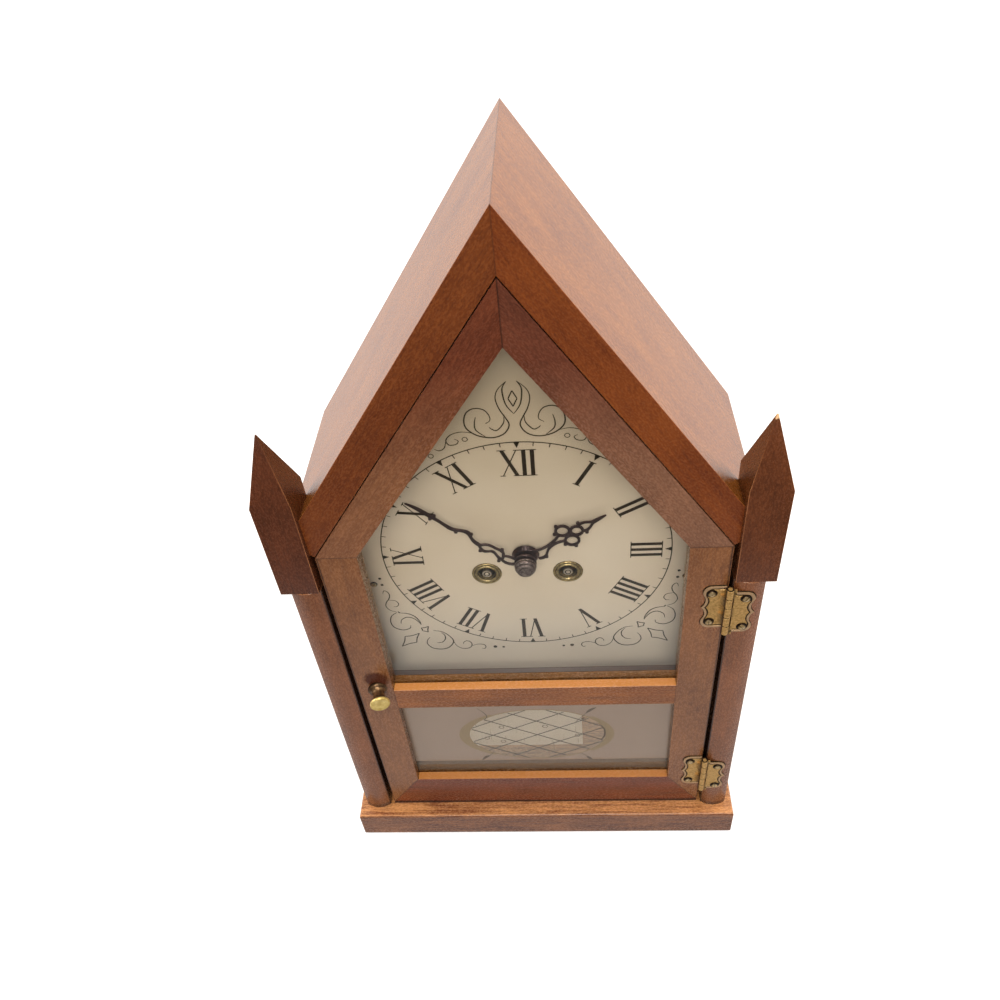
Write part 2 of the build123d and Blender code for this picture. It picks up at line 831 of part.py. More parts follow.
def make_minute_hand():
    """A pierced serpentine hand on a wide round collet."""
    front = dial_front - minute_hand_lift - hand_thick
    back = dial_front - minute_hand_lift
    hand = rod(0, 0, minute_hub_radius, back - hub_thick, back)
    for shares, tapers in minute_strand_shares:
        hand += strand(minute_hand_length, shares, tapers, front, back)
    for along, across in minute_knob_shares:
        hand += knob(minute_hand_length, along, across, front, back)
    hand = bored(hand, 0, 0, cannon_radius + running_gap, back - hub_thick, back)
    return turn_to(hand, minute_hand_angle)


def make_hour_hand():
    """A shorter hand with a trefoil of round piercings, on a flared collet."""
    front = dial_front - hour_hand_lift - hand_thick
    back = dial_front - hour_hand_lift
    flare = back + hour_hand_lift / 2
    hand = turned(0, 0, [(0, flare), (hour_hub_radius, flare), (hour_hub_neck_radius, front), (0, front)])
    for shares, tapers in hour_strand_shares:
        hand += strand(hour_hand_length, shares, tapers, front, back)
    for along, across, radius in hour_ring_shares:
        hand += ring(hour_hand_length, along, across, radius, front, back)
    for along, across in hour_knob_shares:
        hand += knob(hour_hand_length, along, across, front, back)
    hand = bored(hand, 0, 0, hour_pipe_radius + running_gap, front, flare)
    return turn_to(hand, hour_hand_angle)


def make_hand_nut():
    """The domed nut that holds the minute hand on its pipe."""
    seat = dial_front - minute_hand_lift - hub_thick
    end = seat - nut_height
    bore = cannon_radius + running_gap
    floor = seat - nut_height * 0.6
    return turned(0, centre_z, [
        (bore, seat), (nut_radius, seat), (nut_radius, seat - nut_height * 0.35),
        (nut_radius * 0.86, seat - nut_height * 0.7), (nut_radius * 0.5, seat - nut_height * 0.95),
        (0, end), (0, floor), (bore, floor)])


# The wheelwork.

def gear(place, teeth, module, tooth_shares, phase, front, back):
    """A toothed disc whose tooth number nought points at the phase angle."""
    x, z = place
    radius = module * teeth / 2
    outline = []
    for i in range(teeth):
        for turn_share, height_share in tooth_shares:
            angle = radians(phase + 360 / teeth * (i + turn_share))
            reach = radius + module * height_share
            outline.append((x + reach * cos(angle), z + reach * sin(angle)))
    return prism(outline, front, back)


def heading(start, end):
    """The direction from one place to another, in degrees."""
    return degrees(atan2(end[1] - start[1], end[0] - start[0]))


def spacing(wheel_teeth, pinion_teeth, module):
    """The distance between two arbors in mesh."""
    return module * (wheel_teeth + pinion_teeth) / 2


def module_of(start, end, wheel_teeth, pinion_teeth):
    """The module of a pair whose arbors already stand somewhere."""
    return 2 * hypot(end[0] - start[0], end[1] - start[1]) / (wheel_teeth + pinion_teeth)


def meet(start, start_reach, end, end_reach, side):
    """The place at one distance from each of two others, to the side of the line between them."""
    dx, dz = end[0] - start[0], end[1] - start[1]
    apart = hypot(dx, dz)
    along = (start_reach ** 2 - end_reach ** 2 + apart ** 2) / (2 * apart)
    off = side * sqrt(start_reach ** 2 - along ** 2)
    return (start[0] + (dx * along - dz * off) / apart, start[1] + (dz * along + dx * off) / apart)


def wheel(place, mate, teeth, mate_teeth, front, thick):
    """A wheel with a gap between its teeth on the line to the pinion that it meets."""
    module = module_of(place, mate, teeth, mate_teeth)
    phase = heading(place, mate) + 180 / teeth
    return gear(place, teeth, module, wheel_tooth_shares, phase, front, front + thick)


def pinion(place, mate, teeth, mate_teeth, front, thick):
    """A pinion with a leaf on the line to the wheel that it meets."""
    module = module_of(place, mate, teeth, mate_teeth)
    return gear(place, teeth, module, pinion_tooth_shares, heading(place, mate), front, front + thick)


def arbor(place, front, back):
    """A steel arbor with a thin pivot through each plate."""
    x, z = place
    return (rod(x, z, arbor_radius, front, back)
            + rod(x, z, pivot_radius, plate_front, back_plate_rear))


centre_place = (0, centre_z)
time_place = winding_place(1)
strike_place = winding_place(-1)
great_reach = spacing(great_teeth, leaf_teeth, great_module)
second_place = meet(centre_place, spacing(intermediate_teeth, leaf_teeth, intermediate_module),
                    time_place, great_reach, 1)
star_place = (-second_place[0], second_place[1])
third_reach = spacing(centre_teeth, fine_leaf_teeth, centre_module)
third_place = (third_arbor_x, centre_z + sqrt(third_reach ** 2 - third_arbor_x ** 2))
escape_reach = spacing(third_teeth, fine_leaf_teeth, third_module)
escape_place = (0, third_place[1] + sqrt(escape_reach ** 2 - third_arbor_x ** 2))
fly_reach = spacing(star_teeth, fine_leaf_teeth, star_module)
fly_place = (star_place[0] - fly_reach / 2, star_place[1] + fly_reach * sqrt(3) / 2)
motion_reach = spacing(minute_teeth, cannon_teeth, cannon_module)
minute_place = (0, centre_z + motion_reach)
anchor_place = (0, centre_z + suspension_rise)
hammer_place = (hammer_x, centre_z - hammer_drop)

# The planes of the wheels, counted back from the front plate's inner face.
centre_plane = plate_inside + plate_clear
second_plane = centre_plane + wheel_thick + pinion_long
third_plane = second_plane + wheel_thick + plate_clear
great_plane = plate_inside + drum_setback - great_thick
escape_plane = plate_inside + plate_room * escape_share
cannon_plane = plate_front - plate_clear - pinion_long
hour_plane = dial_back + cleat_thick * motion_share
minute_plane = cannon_plane + plate_clear / 2


def make_centre_arbor():
    """The arbor under the hands, with its wheel and the pinion that the train drives."""
    tip = dial_front - minute_hand_lift - hub_thick
    solid = rod(*centre_place, centre_arbor_radius, tip, back_plate_front)
    solid += rod(*centre_place, pivot_radius, back_plate_front, back_plate_rear)
    solid += wheel(centre_place, third_place, centre_teeth, fine_leaf_teeth, centre_plane, wheel_thick)
    solid += pinion(centre_place, second_place, leaf_teeth, intermediate_teeth,
                    second_plane - pinion_long / 4, pinion_long)
    return solid


def make_second_wheel():
    """The wheel between the mainspring barrel and the centre arbor."""
    solid = arbor(second_place, plate_inside, back_plate_front)
    solid += wheel(second_place, centre_place, intermediate_teeth, leaf_teeth, second_plane, wheel_thick)
    solid += pinion(second_place, time_place, leaf_teeth, great_teeth,
                    great_plane - plate_clear / 2, pinion_long + plate_clear)
    return solid


def make_third_wheel():
    """The wheel that drives the escape pinion."""
    solid = arbor(third_place, plate_inside, back_plate_front)
    solid += wheel(third_place, escape_place, third_teeth, fine_leaf_teeth, third_plane, wheel_thick)
    solid += pinion(third_place, centre_place, fine_leaf_teeth, centre_teeth,
                    centre_plane - plate_clear / 3, pinion_long)
    return solid


def make_escape_wheel():
    """A wheel of pointed, leaning teeth, with the last pinion of the train."""
    x, z = escape_place
    root = escape_radius - escape_tooth_deep
    outline = []
    for i in range(escape_teeth):
        for turn_share, reach in ((0, escape_radius), (0.12, escape_radius), (0.35, root), (0.75, root)):
            angle = radians(360 / escape_teeth * (i + turn_share))
            outline.append((x + reach * cos(angle), z + reach * sin(angle)))
    solid = arbor(escape_place, plate_inside, back_plate_front)
    solid += prism(outline, escape_plane, escape_plane + wheel_thick)
    solid += pinion(escape_place, third_place, fine_leaf_teeth, third_teeth,
                    third_plane - plate_clear / 3, pinion_long)
    return solid


def make_barrel(place, mate):
    """A drum that holds the mainspring, with its great wheel in front."""
    solid = wheel(place, mate, great_teeth, leaf_teeth, great_plane, great_thick)
    end = back_plate_front - drum_end_room
    solid += rod(*place, drum_radius, great_plane + great_thick, end)
    return bored(solid, *place, winding_radius + running_gap, great_plane, end)


def make_winding_arbor(place):
    """The arbor that the key turns, with a square end and a ratchet wheel."""
    x, z = place
    half = winding_square / 2
    tip = plate_front - winding_reach
    outline = []
    for i in range(ratchet_teeth):
        for turn_share, reach in ((0, ratchet_radius), (0.9, ratchet_radius - ratchet_tooth_deep)):
            angle = radians(360 / ratchet_teeth * (i + turn_share))
            outline.append((x + reach * cos(angle), z + reach * sin(angle)))
    front = plate_front - running_gap - ratchet_thick
    solid = rod(x, z, winding_radius, front, back_plate_front - running_gap)
    solid += rod(x, z, winding_pivot_radius, back_plate_front - running_gap, back_plate_rear)
    solid += prism(outline, front, front + ratchet_thick)
    square = block(x - half, x + half, tip, front, z - half, z + half)
    return solid + square


def click_place(place, side):
    """The click's stud, outward and below its ratchet wheel."""
    reach = ratchet_radius + click_width + click_gap
    angle = radians(-click_angle)
    return place[0] + side * reach * cos(angle), place[1] + reach * sin(angle)


def make_click(place, side):
    """A pawl on its stud, its nose just clear of the ratchet's teeth."""
    x, z = click_place(place, side)
    front = plate_front - running_gap - click_thick
    back = plate_front - running_gap
    half = click_width / 2
    nose_z = place[1]
    nose_x = place[0] + side * (ratchet_radius + click_gap)
    outline = [(x - side * half, z - half), (x + side * half, z - half),
               (x + side * half, z + half), (nose_x + side * half, nose_z + half), (nose_x, nose_z)]
    solid = prism(outline, front, back)
    stud = rod(x, z, click_stud_radius, front - click_thick / 2, plate_front + plate_thick)
    return solid + stud


def make_cannon():
    """The pipe on the centre arbor that carries the minute hand, with its pinion."""
    x, z = centre_place
    tip = dial_front - minute_hand_lift - hub_thick - nut_height * 0.5
    back = cannon_plane + pinion_long
    solid = rod(x, z, cannon_radius, tip, back)
    solid += pinion(centre_place, minute_place, cannon_teeth, minute_teeth, cannon_plane, pinion_long)
    return bored(solid, x, z, centre_arbor_radius + running_gap, tip, back)


def make_minute_wheel():
    """The wheel and pinion that slow the minute hand's turning twelve times."""
    x, z = minute_place
    end = hour_plane - plate_clear / 2
    solid = wheel(minute_place, centre_place, minute_teeth, cannon_teeth, minute_plane, wheel_thick)
    solid += pinion(minute_place, centre_place, minute_leaf_teeth, hour_teeth, end,
                    minute_plane - end)
    return bored(solid, x, z, stud_radius + running_gap, end, minute_plane + wheel_thick)


def make_hour_wheel():
    """The wheel whose pipe carries the hour hand."""
    x, z = centre_place
    tip = dial_front - hour_hand_lift - hand_thick
    solid = wheel(centre_place, minute_place, hour_teeth, minute_leaf_teeth, hour_plane, wheel_thick)
    solid += rod(x, z, hour_pipe_radius, tip, hour_plane + wheel_thick)
    return bored(solid, x, z, cannon_radius + running_gap, tip, hour_plane + wheel_thick)


def make_star_wheel():
    """The strike train's wheel that lifts the hammer."""
    solid = arbor(star_place, plate_inside, back_plate_front)
    solid += wheel(star_place, fly_place, star_teeth, fine_leaf_teeth, second_plane, wheel_thick)
    solid += pinion(star_place, strike_place, leaf_teeth, great_teeth,
                    great_plane - plate_clear / 2, pinion_long + plate_clear)
    return solid


def make_fly():
    """The air brake of the strike train."""
    x, z = fly_place
    front = back_plate_front - plate_clear - fly_length
    solid = arbor(fly_place, plate_inside, back_plate_front)
    solid += block(x - fly_half_width, x + fly_half_width, front, front + fly_length,
                   z - fly_thick / 2, z + fly_thick / 2)
    solid += pinion(fly_place, star_place, fine_leaf_teeth, star_teeth,
                    second_plane - pinion_long / 4, pinion_long)
    return solid


# The frame of the movement.

def pivot_places():
    """Every arbor whose pivots run in both plates."""
    return (second_place, third_place, escape_place, star_place, fly_place)


def plate_blank(front, back):
    """A brass plate with its corners cut off."""
    side, cut = plate_half_width, plate_corner
    low, high = centre_z - plate_foot, centre_z + plate_top
    outline = [(-side + cut, low), (side - cut, low), (side, low + cut), (side, high - cut),
               (side - cut, high), (-side + cut, high), (-side, high - cut), (-side, low + cut)]
    return prism(outline, front, back)


def pillar_places():
    """The four corner pillars."""
    return [(side * pillar_x, centre_z + rise) for rise in pillar_rises for side in (-1, 1)]


def drilled(plate, front, back, centre_radius, winding_bore):
    """A plate with its pivot, pillar, winding and centre holes."""
    for place in pivot_places():
        plate = bored(plate, *place, pivot_radius + running_gap, front, back)
    for place in (anchor_place, hammer_place):
        plate = bored(plate, *place, lever_arbor_radius + running_gap, front, back)
    for place in pillar_places():
        plate = bored(plate, *place, pillar_tenon_radius + running_gap, front, back)
    for place in (time_place, strike_place):
        plate = bored(plate, *place, winding_bore + running_gap, front, back)
    return bored(plate, *centre_place, centre_radius + running_gap, front, back)


def make_front_plate():
    """The plate behind the dial, with the minute wheel's stud."""
    plate = drilled(plate_blank(plate_front, plate_inside), plate_front, plate_inside,
                    centre_arbor_radius, winding_radius)
    for side, place in ((1, time_place), (-1, strike_place)):
        plate = bored(plate, *click_place(place, side), click_stud_radius + running_gap,
                      plate_front, plate_inside)
    stud_tip = hour_plane - plate_clear
    return plate + rod(*minute_place, stud_radius, stud_tip, plate_front)


def make_back_plate():
    """The plate at the rear of the movement."""
    return drilled(plate_blank(back_plate_front, back_plate_rear), back_plate_front,
                   back_plate_rear, pivot_radius, winding_pivot_radius)


def make_pillars():
    """Turned pillars whose tenons pass through the plates, and through the straps in front."""
    pillars = []
    for x, z in pillar_places():
        body = rod(x, z, pillar_radius, plate_inside, back_plate_front)
        tenon = rod(x, z, pillar_tenon_radius, cleat_back - nut_thick, back_plate_rear + nut_thick)
        pillars.append(body + tenon)
    return pillars


def make_pillar_nuts():
    """Six-sided nuts in front of the straps and behind the back plate."""
    nuts = []
    for x, z in pillar_places():
        for front in (cleat_back - nut_thick, back_plate_rear):
            corners = [(x + nut_across_radius * cos(radians(60 * i)),
                        z + nut_across_radius * sin(radians(60 * i))) for i in range(6)]
            nut = prism(corners, front, front + nut_thick)
            nuts.append(bored(nut, x, z, pillar_tenon_radius + running_gap, front, front + nut_thick))
    return nuts


def strap_screw_places():
    """The two ends of each strap, where it is screwed to the cleats."""
    places = []
    for rise, half in zip(pillar_rises, strap_half_widths):
        for side in (-1, 1):
            places.append((side * (half - strap_screw_inset), centre_z + rise))
    return places


def make_straps():
    """Two steel bars from cleat to cleat that carry the movement."""
    straps = []
    for rise, half in zip(pillar_rises, strap_half_widths):
        z = centre_z + rise
        strap = block(-half, half, cleat_back, plate_front, z - strap_height / 2, z + strap_height / 2)
        for side in (-1, 1):
            strap = bored(strap, side * pillar_x, z, pillar_tenon_radius + running_gap,
                          cleat_back, plate_front)
            strap = bored(strap, side * (half - strap_screw_inset), z,
                          wood_screw_radius + running_gap, cleat_back, plate_front)
        straps.append(strap)
    return straps


# The escapement's anchor, the pendulum, the gong and its hammer.

def pendulum_y():
    """The depth at which the pendulum hangs."""
    return back_plate_rear + pendulum_setback


def make_anchor():
    """The anchor over the escape wheel, its arbor and the crutch behind the back plate."""
    x, z = anchor_place
    crutch_front = back_plate_rear + plate_clear
    solid = rod(x, z, lever_arbor_radius, plate_front, crutch_front + crutch_thick)
    reach = escape_radius + anchor_gap
    arms = []
    for side in (-1, 1):
        angle = radians(90 - side * anchor_half_angle)
        nib_x = escape_place[0] + (reach + anchor_width / 2) * cos(angle)
        nib_z = escape_place[1] + (reach + anchor_width / 2) * sin(angle)
        elbow_x = nib_x * 1.25
        elbow_z = (nib_z + z) / 2 + anchor_width / 2
        arms.append([(x, z), (elbow_x, elbow_z), (nib_x, nib_z)])
    for points in arms:
        widths = [anchor_width * 1.5, anchor_width, anchor_width * 0.7]
        solid += ribbon(points, widths, escape_plane - anchor_thick / 4,
                        escape_plane + anchor_thick * 0.75)
    arm = block(x - crutch_width / 2, x + crutch_width / 2, crutch_front,
                crutch_front + crutch_thick, z - crutch_length, z)
    rod_y = pendulum_y()
    fork = block(x - fork_width / 2, x + fork_width / 2, crutch_front,
                 rod_y + pendulum_rod_radius * 2, z - crutch_length,
                 z - crutch_length + crutch_width)
    slot_half = pendulum_rod_radius + running_gap * 2
    slot = block(x - slot_half, x + slot_half, rod_y - pendulum_rod_radius * 2,
                 rod_y + pendulum_rod_radius * 2 + cut_overrun, z - crutch_length - cut_overrun,
                 z - crutch_length + crutch_width + cut_overrun)
    return solid + arm + (fork - slot)


def make_suspension_bracket():
    """The hook on the back plate from which the pendulum hangs."""
    x, z = anchor_place
    y = pendulum_y()
    half = bracket_half_width
    low = z + running_gap * 5
    high = low + bracket_rise
    arm = block(x - half, x + half, back_plate_rear, y + bracket_thick / 2,
                high - bracket_thick, high)
    drop = block(x - half, x + half, y - bracket_thick / 2, y + bracket_thick / 2, low, high)
    return arm + drop


def make_pendulum_rod():
    """The suspension spring, the long wire rod and the threaded foot below the bob."""
    x, z = anchor_place
    y = pendulum_y()
    spring = block(x - spring_thick / 2, x + spring_thick / 2, y - spring_width / 2,
                   y + spring_width / 2, z - spring_length, z)
    foot = bob_z - bob_radius - rating_thread
    return spring + upright(x, y, pendulum_rod_radius, foot, z - spring_length)


def make_bob():
    """A round lens of brass, bored for the rod, with the nut that sets the rate."""
    y = pendulum_y()
    half, rim = bob_thick / 2, bob_rim / 2
    lens = turned(0, bob_z, [
        (0, y - half), (bob_radius * 0.6, y - half * 0.8), (bob_radius, y - rim),
        (bob_radius, y + rim), (bob_radius * 0.6, y + half * 0.8), (0, y + half)])
    high = bob_z - bob_radius - running_gap
    nut = upright(0, y, rating_nut_radius, high - rating_nut_thick, high)
    hole = upright(0, y, pendulum_rod_radius + running_gap, high - rating_nut_thick - cut_overrun,
                   bob_z + bob_radius + cut_overrun)
    return [lens - hole, nut - hole]


def gong_rod_depths():
    """The depths of the two gong rods."""
    first = panel_front - gong_rod_setback
    return first, first - gong_rod_spacing


def make_gong_block():
    """The iron block on the back panel that holds the rods' upper ends."""
    solid = block(gong_x - gong_block_half_width, gong_x + gong_block_half_width,
                  panel_front - gong_block_deep, panel_front, gong_block_z,
                  gong_block_z + gong_block_height)
    for y in gong_rod_depths():
        solid -= upright(gong_x, y, gong_rod_radius + running_gap, gong_block_z - cut_overrun,
                         gong_block_z + gong_block_height / 2)
    return solid


def make_gong_rods():
    """Two straight steel rods that ring when the hammer strikes."""
    return [upright(gong_x, y, gong_rod_radius, gong_foot_z, gong_block_z + gong_block_height / 2)
            for y in gong_rod_depths()]


def make_hammer():
    """The hammer on its arbor, with a brass head beside the gong rods."""
    x, z = hammer_place
    front = back_plate_rear + plate_clear
    back = front + hammer_arm_thick
    solid = rod(x, z, lever_arbor_radius, plate_front, back)
    solid += rod(x, z, hammer_boss_radius, front, back)
    head_left = gong_x + gong_rod_radius + hammer_strike_gap
    head_x = head_left + hammer_head_length / 2
    solid += ribbon([(x, z), ((x + head_x) / 2, (z + hammer_head_z) / 2 + hammer_arm_width),
                     (head_x, hammer_head_z)], [hammer_arm_width] * 3, front, back)
    depths = gong_rod_depths()
    middle_y = sum(depths) / 2
    head = Cylinder(hammer_head_radius, hammer_head_length,
                    align=(Align.CENTER, Align.CENTER, Align.MIN))
    solid += Pos(head_left, middle_y, hammer_head_z) * Rot(0, 90, 0) * head
    return solid + rod(head_x, hammer_head_z, hammer_arm_width / 2, front, middle_y)


# Every piece is written as a node of its own.

save("base_board", make_base_board())
panel_screws = [wood_screw(x, z, panel_rear, -1) for x, z in panel_screw_places()]
strap_screws = [wood_screw(x, z, plate_front, -1) for x, z in strap_screw_places()]
panel_holes = [screw_hole(x, z, panel_rear, -1) for x, z in panel_screw_places()]
for side, name in SIDES:
    wall = make_side_wall(side)
    roof = make_roof_board(side)
    for hole in panel_holes:
        wall -= hole
        roof -= hole
    column = make_column(side)
    if side > 0:
        for hole in hinge_screw_holes(1, face - column_proud):
            column -= hole
            wall -= hole
    save(f"side_wall_{name}", wall)
    save(f"roof_board_{name}", roof)
    save(f"column_{name}", column)
    save(f"finial_{name}", make_finial(side))
save("back_panel", make_back_panel())
save("case_screws", *panel_screws, *strap_screws)
save("door_stops", *[make_door_stop(side) for side, _ in SIDES])
save("dial_cleats", *[make_cleat(side) for side, _ in SIDES])
save("paper_label", make_label())

for side, name in SIDES:
    stile = make_stile(side)
    if side > 0:
        for hole in hinge_screw_holes(-1, face):
            stile -= hole
    save(f"door_stile_{name}", stile)
    save(f"door_top_rail_{name}", make_slanted_rail(side))
save("door_bottom_rail", make_bottom_rail())
save("door_mullion", make_mullion())
save("upper_glass", make_pane(upper_opening))
save("tablet_glass", make_pane(lower_opening))
save("glass_beads", *make_beads(upper_opening), *make_beads(lower_opening))
save("door_knob", make_knob())
save("door_hinge_leaves", *[make_door_leaf(z) for z in hinge_heights])
save("case_hinge_leaves", *[make_case_leaf(z) for z in hinge_heights])
save("hinge_pins", *[make_hinge_pin(z) for z in hinge_heights])
save("door_hinge_screws", *[make_hinge_screw(x, z, face) for x, z in hinge_screw_places(-1)])
column_screws = [make_hinge_screw(x, z, face - column_proud) for x, z in hinge_screw_places(1)]
save("small_brass_screws", *column_screws, *[make_dial_screw(side) for side, _ in SIDES])

save("dial_plate", make_dial())
save("winding_grommets", *[make_grommet(side) for side, _ in SIDES])
save("minute_hand", make_minute_hand())
save("hour_hand", make_hour_hand())
save("hand_nut", make_hand_nut())

save("front_plate", make_front_plate())
save("back_plate", make_back_plate())
save("plate_pillars", *make_pillars(), *make_pillar_nuts())
save("movement_straps", *make_straps())
save("centre_arbor", make_centre_arbor())
save("second_wheel", make_second_wheel())
save("third_wheel", make_third_wheel())
save("escape_wheel", make_escape_wheel())
save("time_barrel", make_barrel(time_place, second_place))
save("strike_barrel", make_barrel(strike_place, star_place))
save("time_winding_arbor", make_winding_arbor(time_place))
save("strike_winding_arbor", make_winding_arbor(strike_place))
save("time_click", make_click(time_place, 1))
save("strike_click", make_click(strike_place, -1))
save("cannon_pinion", make_cannon())
save("minute_wheel", make_minute_wheel())
save("hour_wheel", make_hour_wheel())
save("star_wheel", make_star_wheel())
save("fly", make_fly())

save("anchor", make_anchor())
save("suspension_bracket", make_suspension_bracket())
save("pendulum_rod", make_pendulum_rod())
save("pendulum_bob", *make_bob())
save("gong_block", make_gong_block())
save("gong_rods", *make_gong_rods())
save("hammer", make_hammer())
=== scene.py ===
import json
from math import atan2, cos, hypot, pi, radians, sin, tan

import bmesh
import bpy
from mathutils import Matrix, Vector

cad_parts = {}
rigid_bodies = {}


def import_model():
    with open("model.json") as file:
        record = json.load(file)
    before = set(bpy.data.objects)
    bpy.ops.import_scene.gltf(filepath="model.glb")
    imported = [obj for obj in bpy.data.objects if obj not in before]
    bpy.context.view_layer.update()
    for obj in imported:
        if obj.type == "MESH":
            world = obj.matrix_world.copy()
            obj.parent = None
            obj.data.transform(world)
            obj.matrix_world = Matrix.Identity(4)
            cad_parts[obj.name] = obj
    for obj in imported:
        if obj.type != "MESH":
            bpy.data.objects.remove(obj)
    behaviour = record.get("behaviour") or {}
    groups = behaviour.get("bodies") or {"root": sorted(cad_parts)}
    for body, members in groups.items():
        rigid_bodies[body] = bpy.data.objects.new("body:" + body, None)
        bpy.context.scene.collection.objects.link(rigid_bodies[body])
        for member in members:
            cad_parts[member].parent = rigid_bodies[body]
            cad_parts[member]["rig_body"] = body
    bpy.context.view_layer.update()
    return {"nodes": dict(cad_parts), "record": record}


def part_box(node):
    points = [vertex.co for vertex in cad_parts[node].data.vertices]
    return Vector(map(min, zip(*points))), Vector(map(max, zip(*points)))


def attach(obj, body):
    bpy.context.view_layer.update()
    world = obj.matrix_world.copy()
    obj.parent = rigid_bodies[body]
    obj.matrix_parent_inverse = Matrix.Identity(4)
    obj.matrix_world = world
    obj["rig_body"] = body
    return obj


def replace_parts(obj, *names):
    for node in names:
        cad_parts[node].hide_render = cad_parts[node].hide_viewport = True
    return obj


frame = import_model()

# The place it stands in: a white table in white surroundings, a wide soft lamp overhead, others in
# front and at both sides, and the camera held high, so that it looks down on the roof and the base.
mm = 0.001


def linear(code):
    """An sRGB hex colour as the linear values that a shader takes."""
    parts = [int(code[i:i + 2], 16) / 255 for i in (1, 3, 5)]
    return tuple(v / 12.92 if v <= 0.04045 else ((v + 0.055) / 1.055) ** 2.4 for v in parts) + (1.0,)


def add(tree, kind, settings=None, sockets=None):
    """Adds a node with its settings, and gives its sockets a value or a link."""
    node = tree.nodes.new(kind)
    for name, value in (settings or {}).items():
        setattr(node, name, value)
    for name, value in (sockets or {}).items():
        if isinstance(value, bpy.types.NodeSocket):
            tree.links.new(value, node.inputs[name])
        else:
            node.inputs[name].default_value = value
    return node


def reckon(tree, operation, *given):
    """A sum or comparison of numbers and sockets."""
    return add(tree, "ShaderNodeMath", {"operation": operation}, dict(enumerate(given))).outputs[0]


def axes(tree, vector):
    """The X, Y and Z of a vector."""
    return add(tree, "ShaderNodeSeparateXYZ", None, {0: vector}).outputs


def span(tree, given, low, high, to_low=0.0, to_high=1.0, smooth=False):
    """A value carried from one span to another, and held at its ends."""
    return add(tree, "ShaderNodeMapRange", {"interpolation_type": "SMOOTHSTEP" if smooth else "LINEAR"}, {
        "Value": given, "From Min": low, "From Max": high, "To Min": to_low, "To Max": to_high}).outputs[0]


def mixed(tree, share, first, second, blend="MIX"):
    """Two colours mixed, each a socket or a hex code."""
    first, second = (linear(colour) if isinstance(colour, str) else colour for colour in (first, second))
    return add(tree, "ShaderNodeMix", {"data_type": "RGBA", "blend_type": blend}, {
        0: share, 6: first, 7: second}).outputs[2]


def noise(tree, place, scale, detail, rough=0.5):
    """Soft spots of noise."""
    return add(tree, "ShaderNodeTexNoise", None, {
        "Vector": place, "Scale": scale, "Detail": detail, "Roughness": rough}).outputs[0]


def stretch(tree, place, long_mm, wide_mm, high_mm):
    """Coordinates in which a noise of scale 1 has spots of this size."""
    return add(tree, "ShaderNodeMapping", None, {
        "Vector": place, "Scale": [1 / (size * mm) for size in (long_mm, wide_mm, high_mm)]}).outputs[0]


def raised(tree, height, strength, depth_mm):
    """A normal that follows small heights."""
    return add(tree, "ShaderNodeBump", None, {
        "Strength": strength, "Distance": depth_mm * mm, "Height": height}).outputs[0]


def new_material(name):
    """An empty material, its tree and the place on the piece that it covers."""
    material = bpy.data.materials.new(name)
    material.use_nodes = True
    tree = material.node_tree
    tree.nodes.clear()
    return material, tree, add(tree, "ShaderNodeTexCoord").outputs["Object"]


def finished(material, shader):
    """The material, ending in this shader."""
    add(material.node_tree, "ShaderNodeOutputMaterial", None, {0: shader.outputs[0]})
    return material


def surface(material, sockets):
    """The material, ending in a principled surface with these sockets."""
    return finished(material, add(material.node_tree, "ShaderNodeBsdfPrincipled", None, sockets))


def blend_shaders(tree, share, first, second):
    """Two shaders mixed."""
    return add(tree, "ShaderNodeMixShader", None, {0: share, 1: first.outputs[0], 2: second.outputs[0]})


white_world = bpy.data.worlds.new("white surroundings")
white_world.use_nodes = True
sky = white_world.node_tree
sky.nodes.clear()
ray = add(sky, "ShaderNodeLightPath").outputs
toward = axes(sky, add(sky, "ShaderNodeTexCoord").outputs["Generated"])["Y"]
mirrored = reckon(sky, "MULTIPLY", ray["Is Glossy Ray"], span(sky, toward, -0.55, 0.35, 0.22, 1.0, True))
seen = reckon(sky, "MAXIMUM", ray["Is Camera Ray"], ray["Is Transmission Ray"])
strength = reckon(sky, "MAXIMUM", reckon(sky, "MAXIMUM", seen, mirrored), 0.34)
glow = add(sky, "ShaderNodeBackground", None, {"Color": (1.0, 1.0, 1.0, 1.0), "Strength": strength})
add(sky, "ShaderNodeOutputWorld", None, {"Surface": glow.outputs[0]})
bpy.context.scene.world = white_world
bpy.context.scene.view_settings.view_transform = "Standard"

table_paper, tree, _ = new_material("white table paper")
ray = add(tree, "ShaderNodeLightPath").outputs
fibre = add(tree, "ShaderNodeTexNoise", None, {"Scale": 60.0, "Detail": 4.0})
matt = add(tree, "ShaderNodeBsdfDiffuse", None, {"Color": span(tree, fibre.outputs[0], 0.0, 1.0, 0.5, 0.54)})
spot = add(tree, "ShaderNodeNewGeometry").outputs["Position"]
away = add(tree, "ShaderNodeVectorMath", {"operation": "LENGTH"}, {0: spot}).outputs["Value"]
depth = axes(tree, spot)["Y"]
seen = reckon(tree, "MAXIMUM", ray["Is Camera Ray"], ray["Is Transmission Ray"])
seen = reckon(tree, "MULTIPLY", seen, span(tree, away, 0.3, 0.9, 0.6, 1.0))
white = add(tree, "ShaderNodeEmission", None, {"Strength": seen})
lit = add(tree, "ShaderNodeAddShader", None, {0: matt.outputs[0], 1: white.outputs[0]})
before = span(tree, depth, -0.38, -0.2, 0.0, 0.55, True)
beyond = span(tree, depth, -0.02, 0.15, 0.0, 0.32, True)
mirrored = add(tree, "ShaderNodeEmission", None, {"Strength": reckon(tree, "ADD", before, beyond)})
finished(table_paper, blend_shaders(tree, ray["Is Glossy Ray"], lit, mirrored))


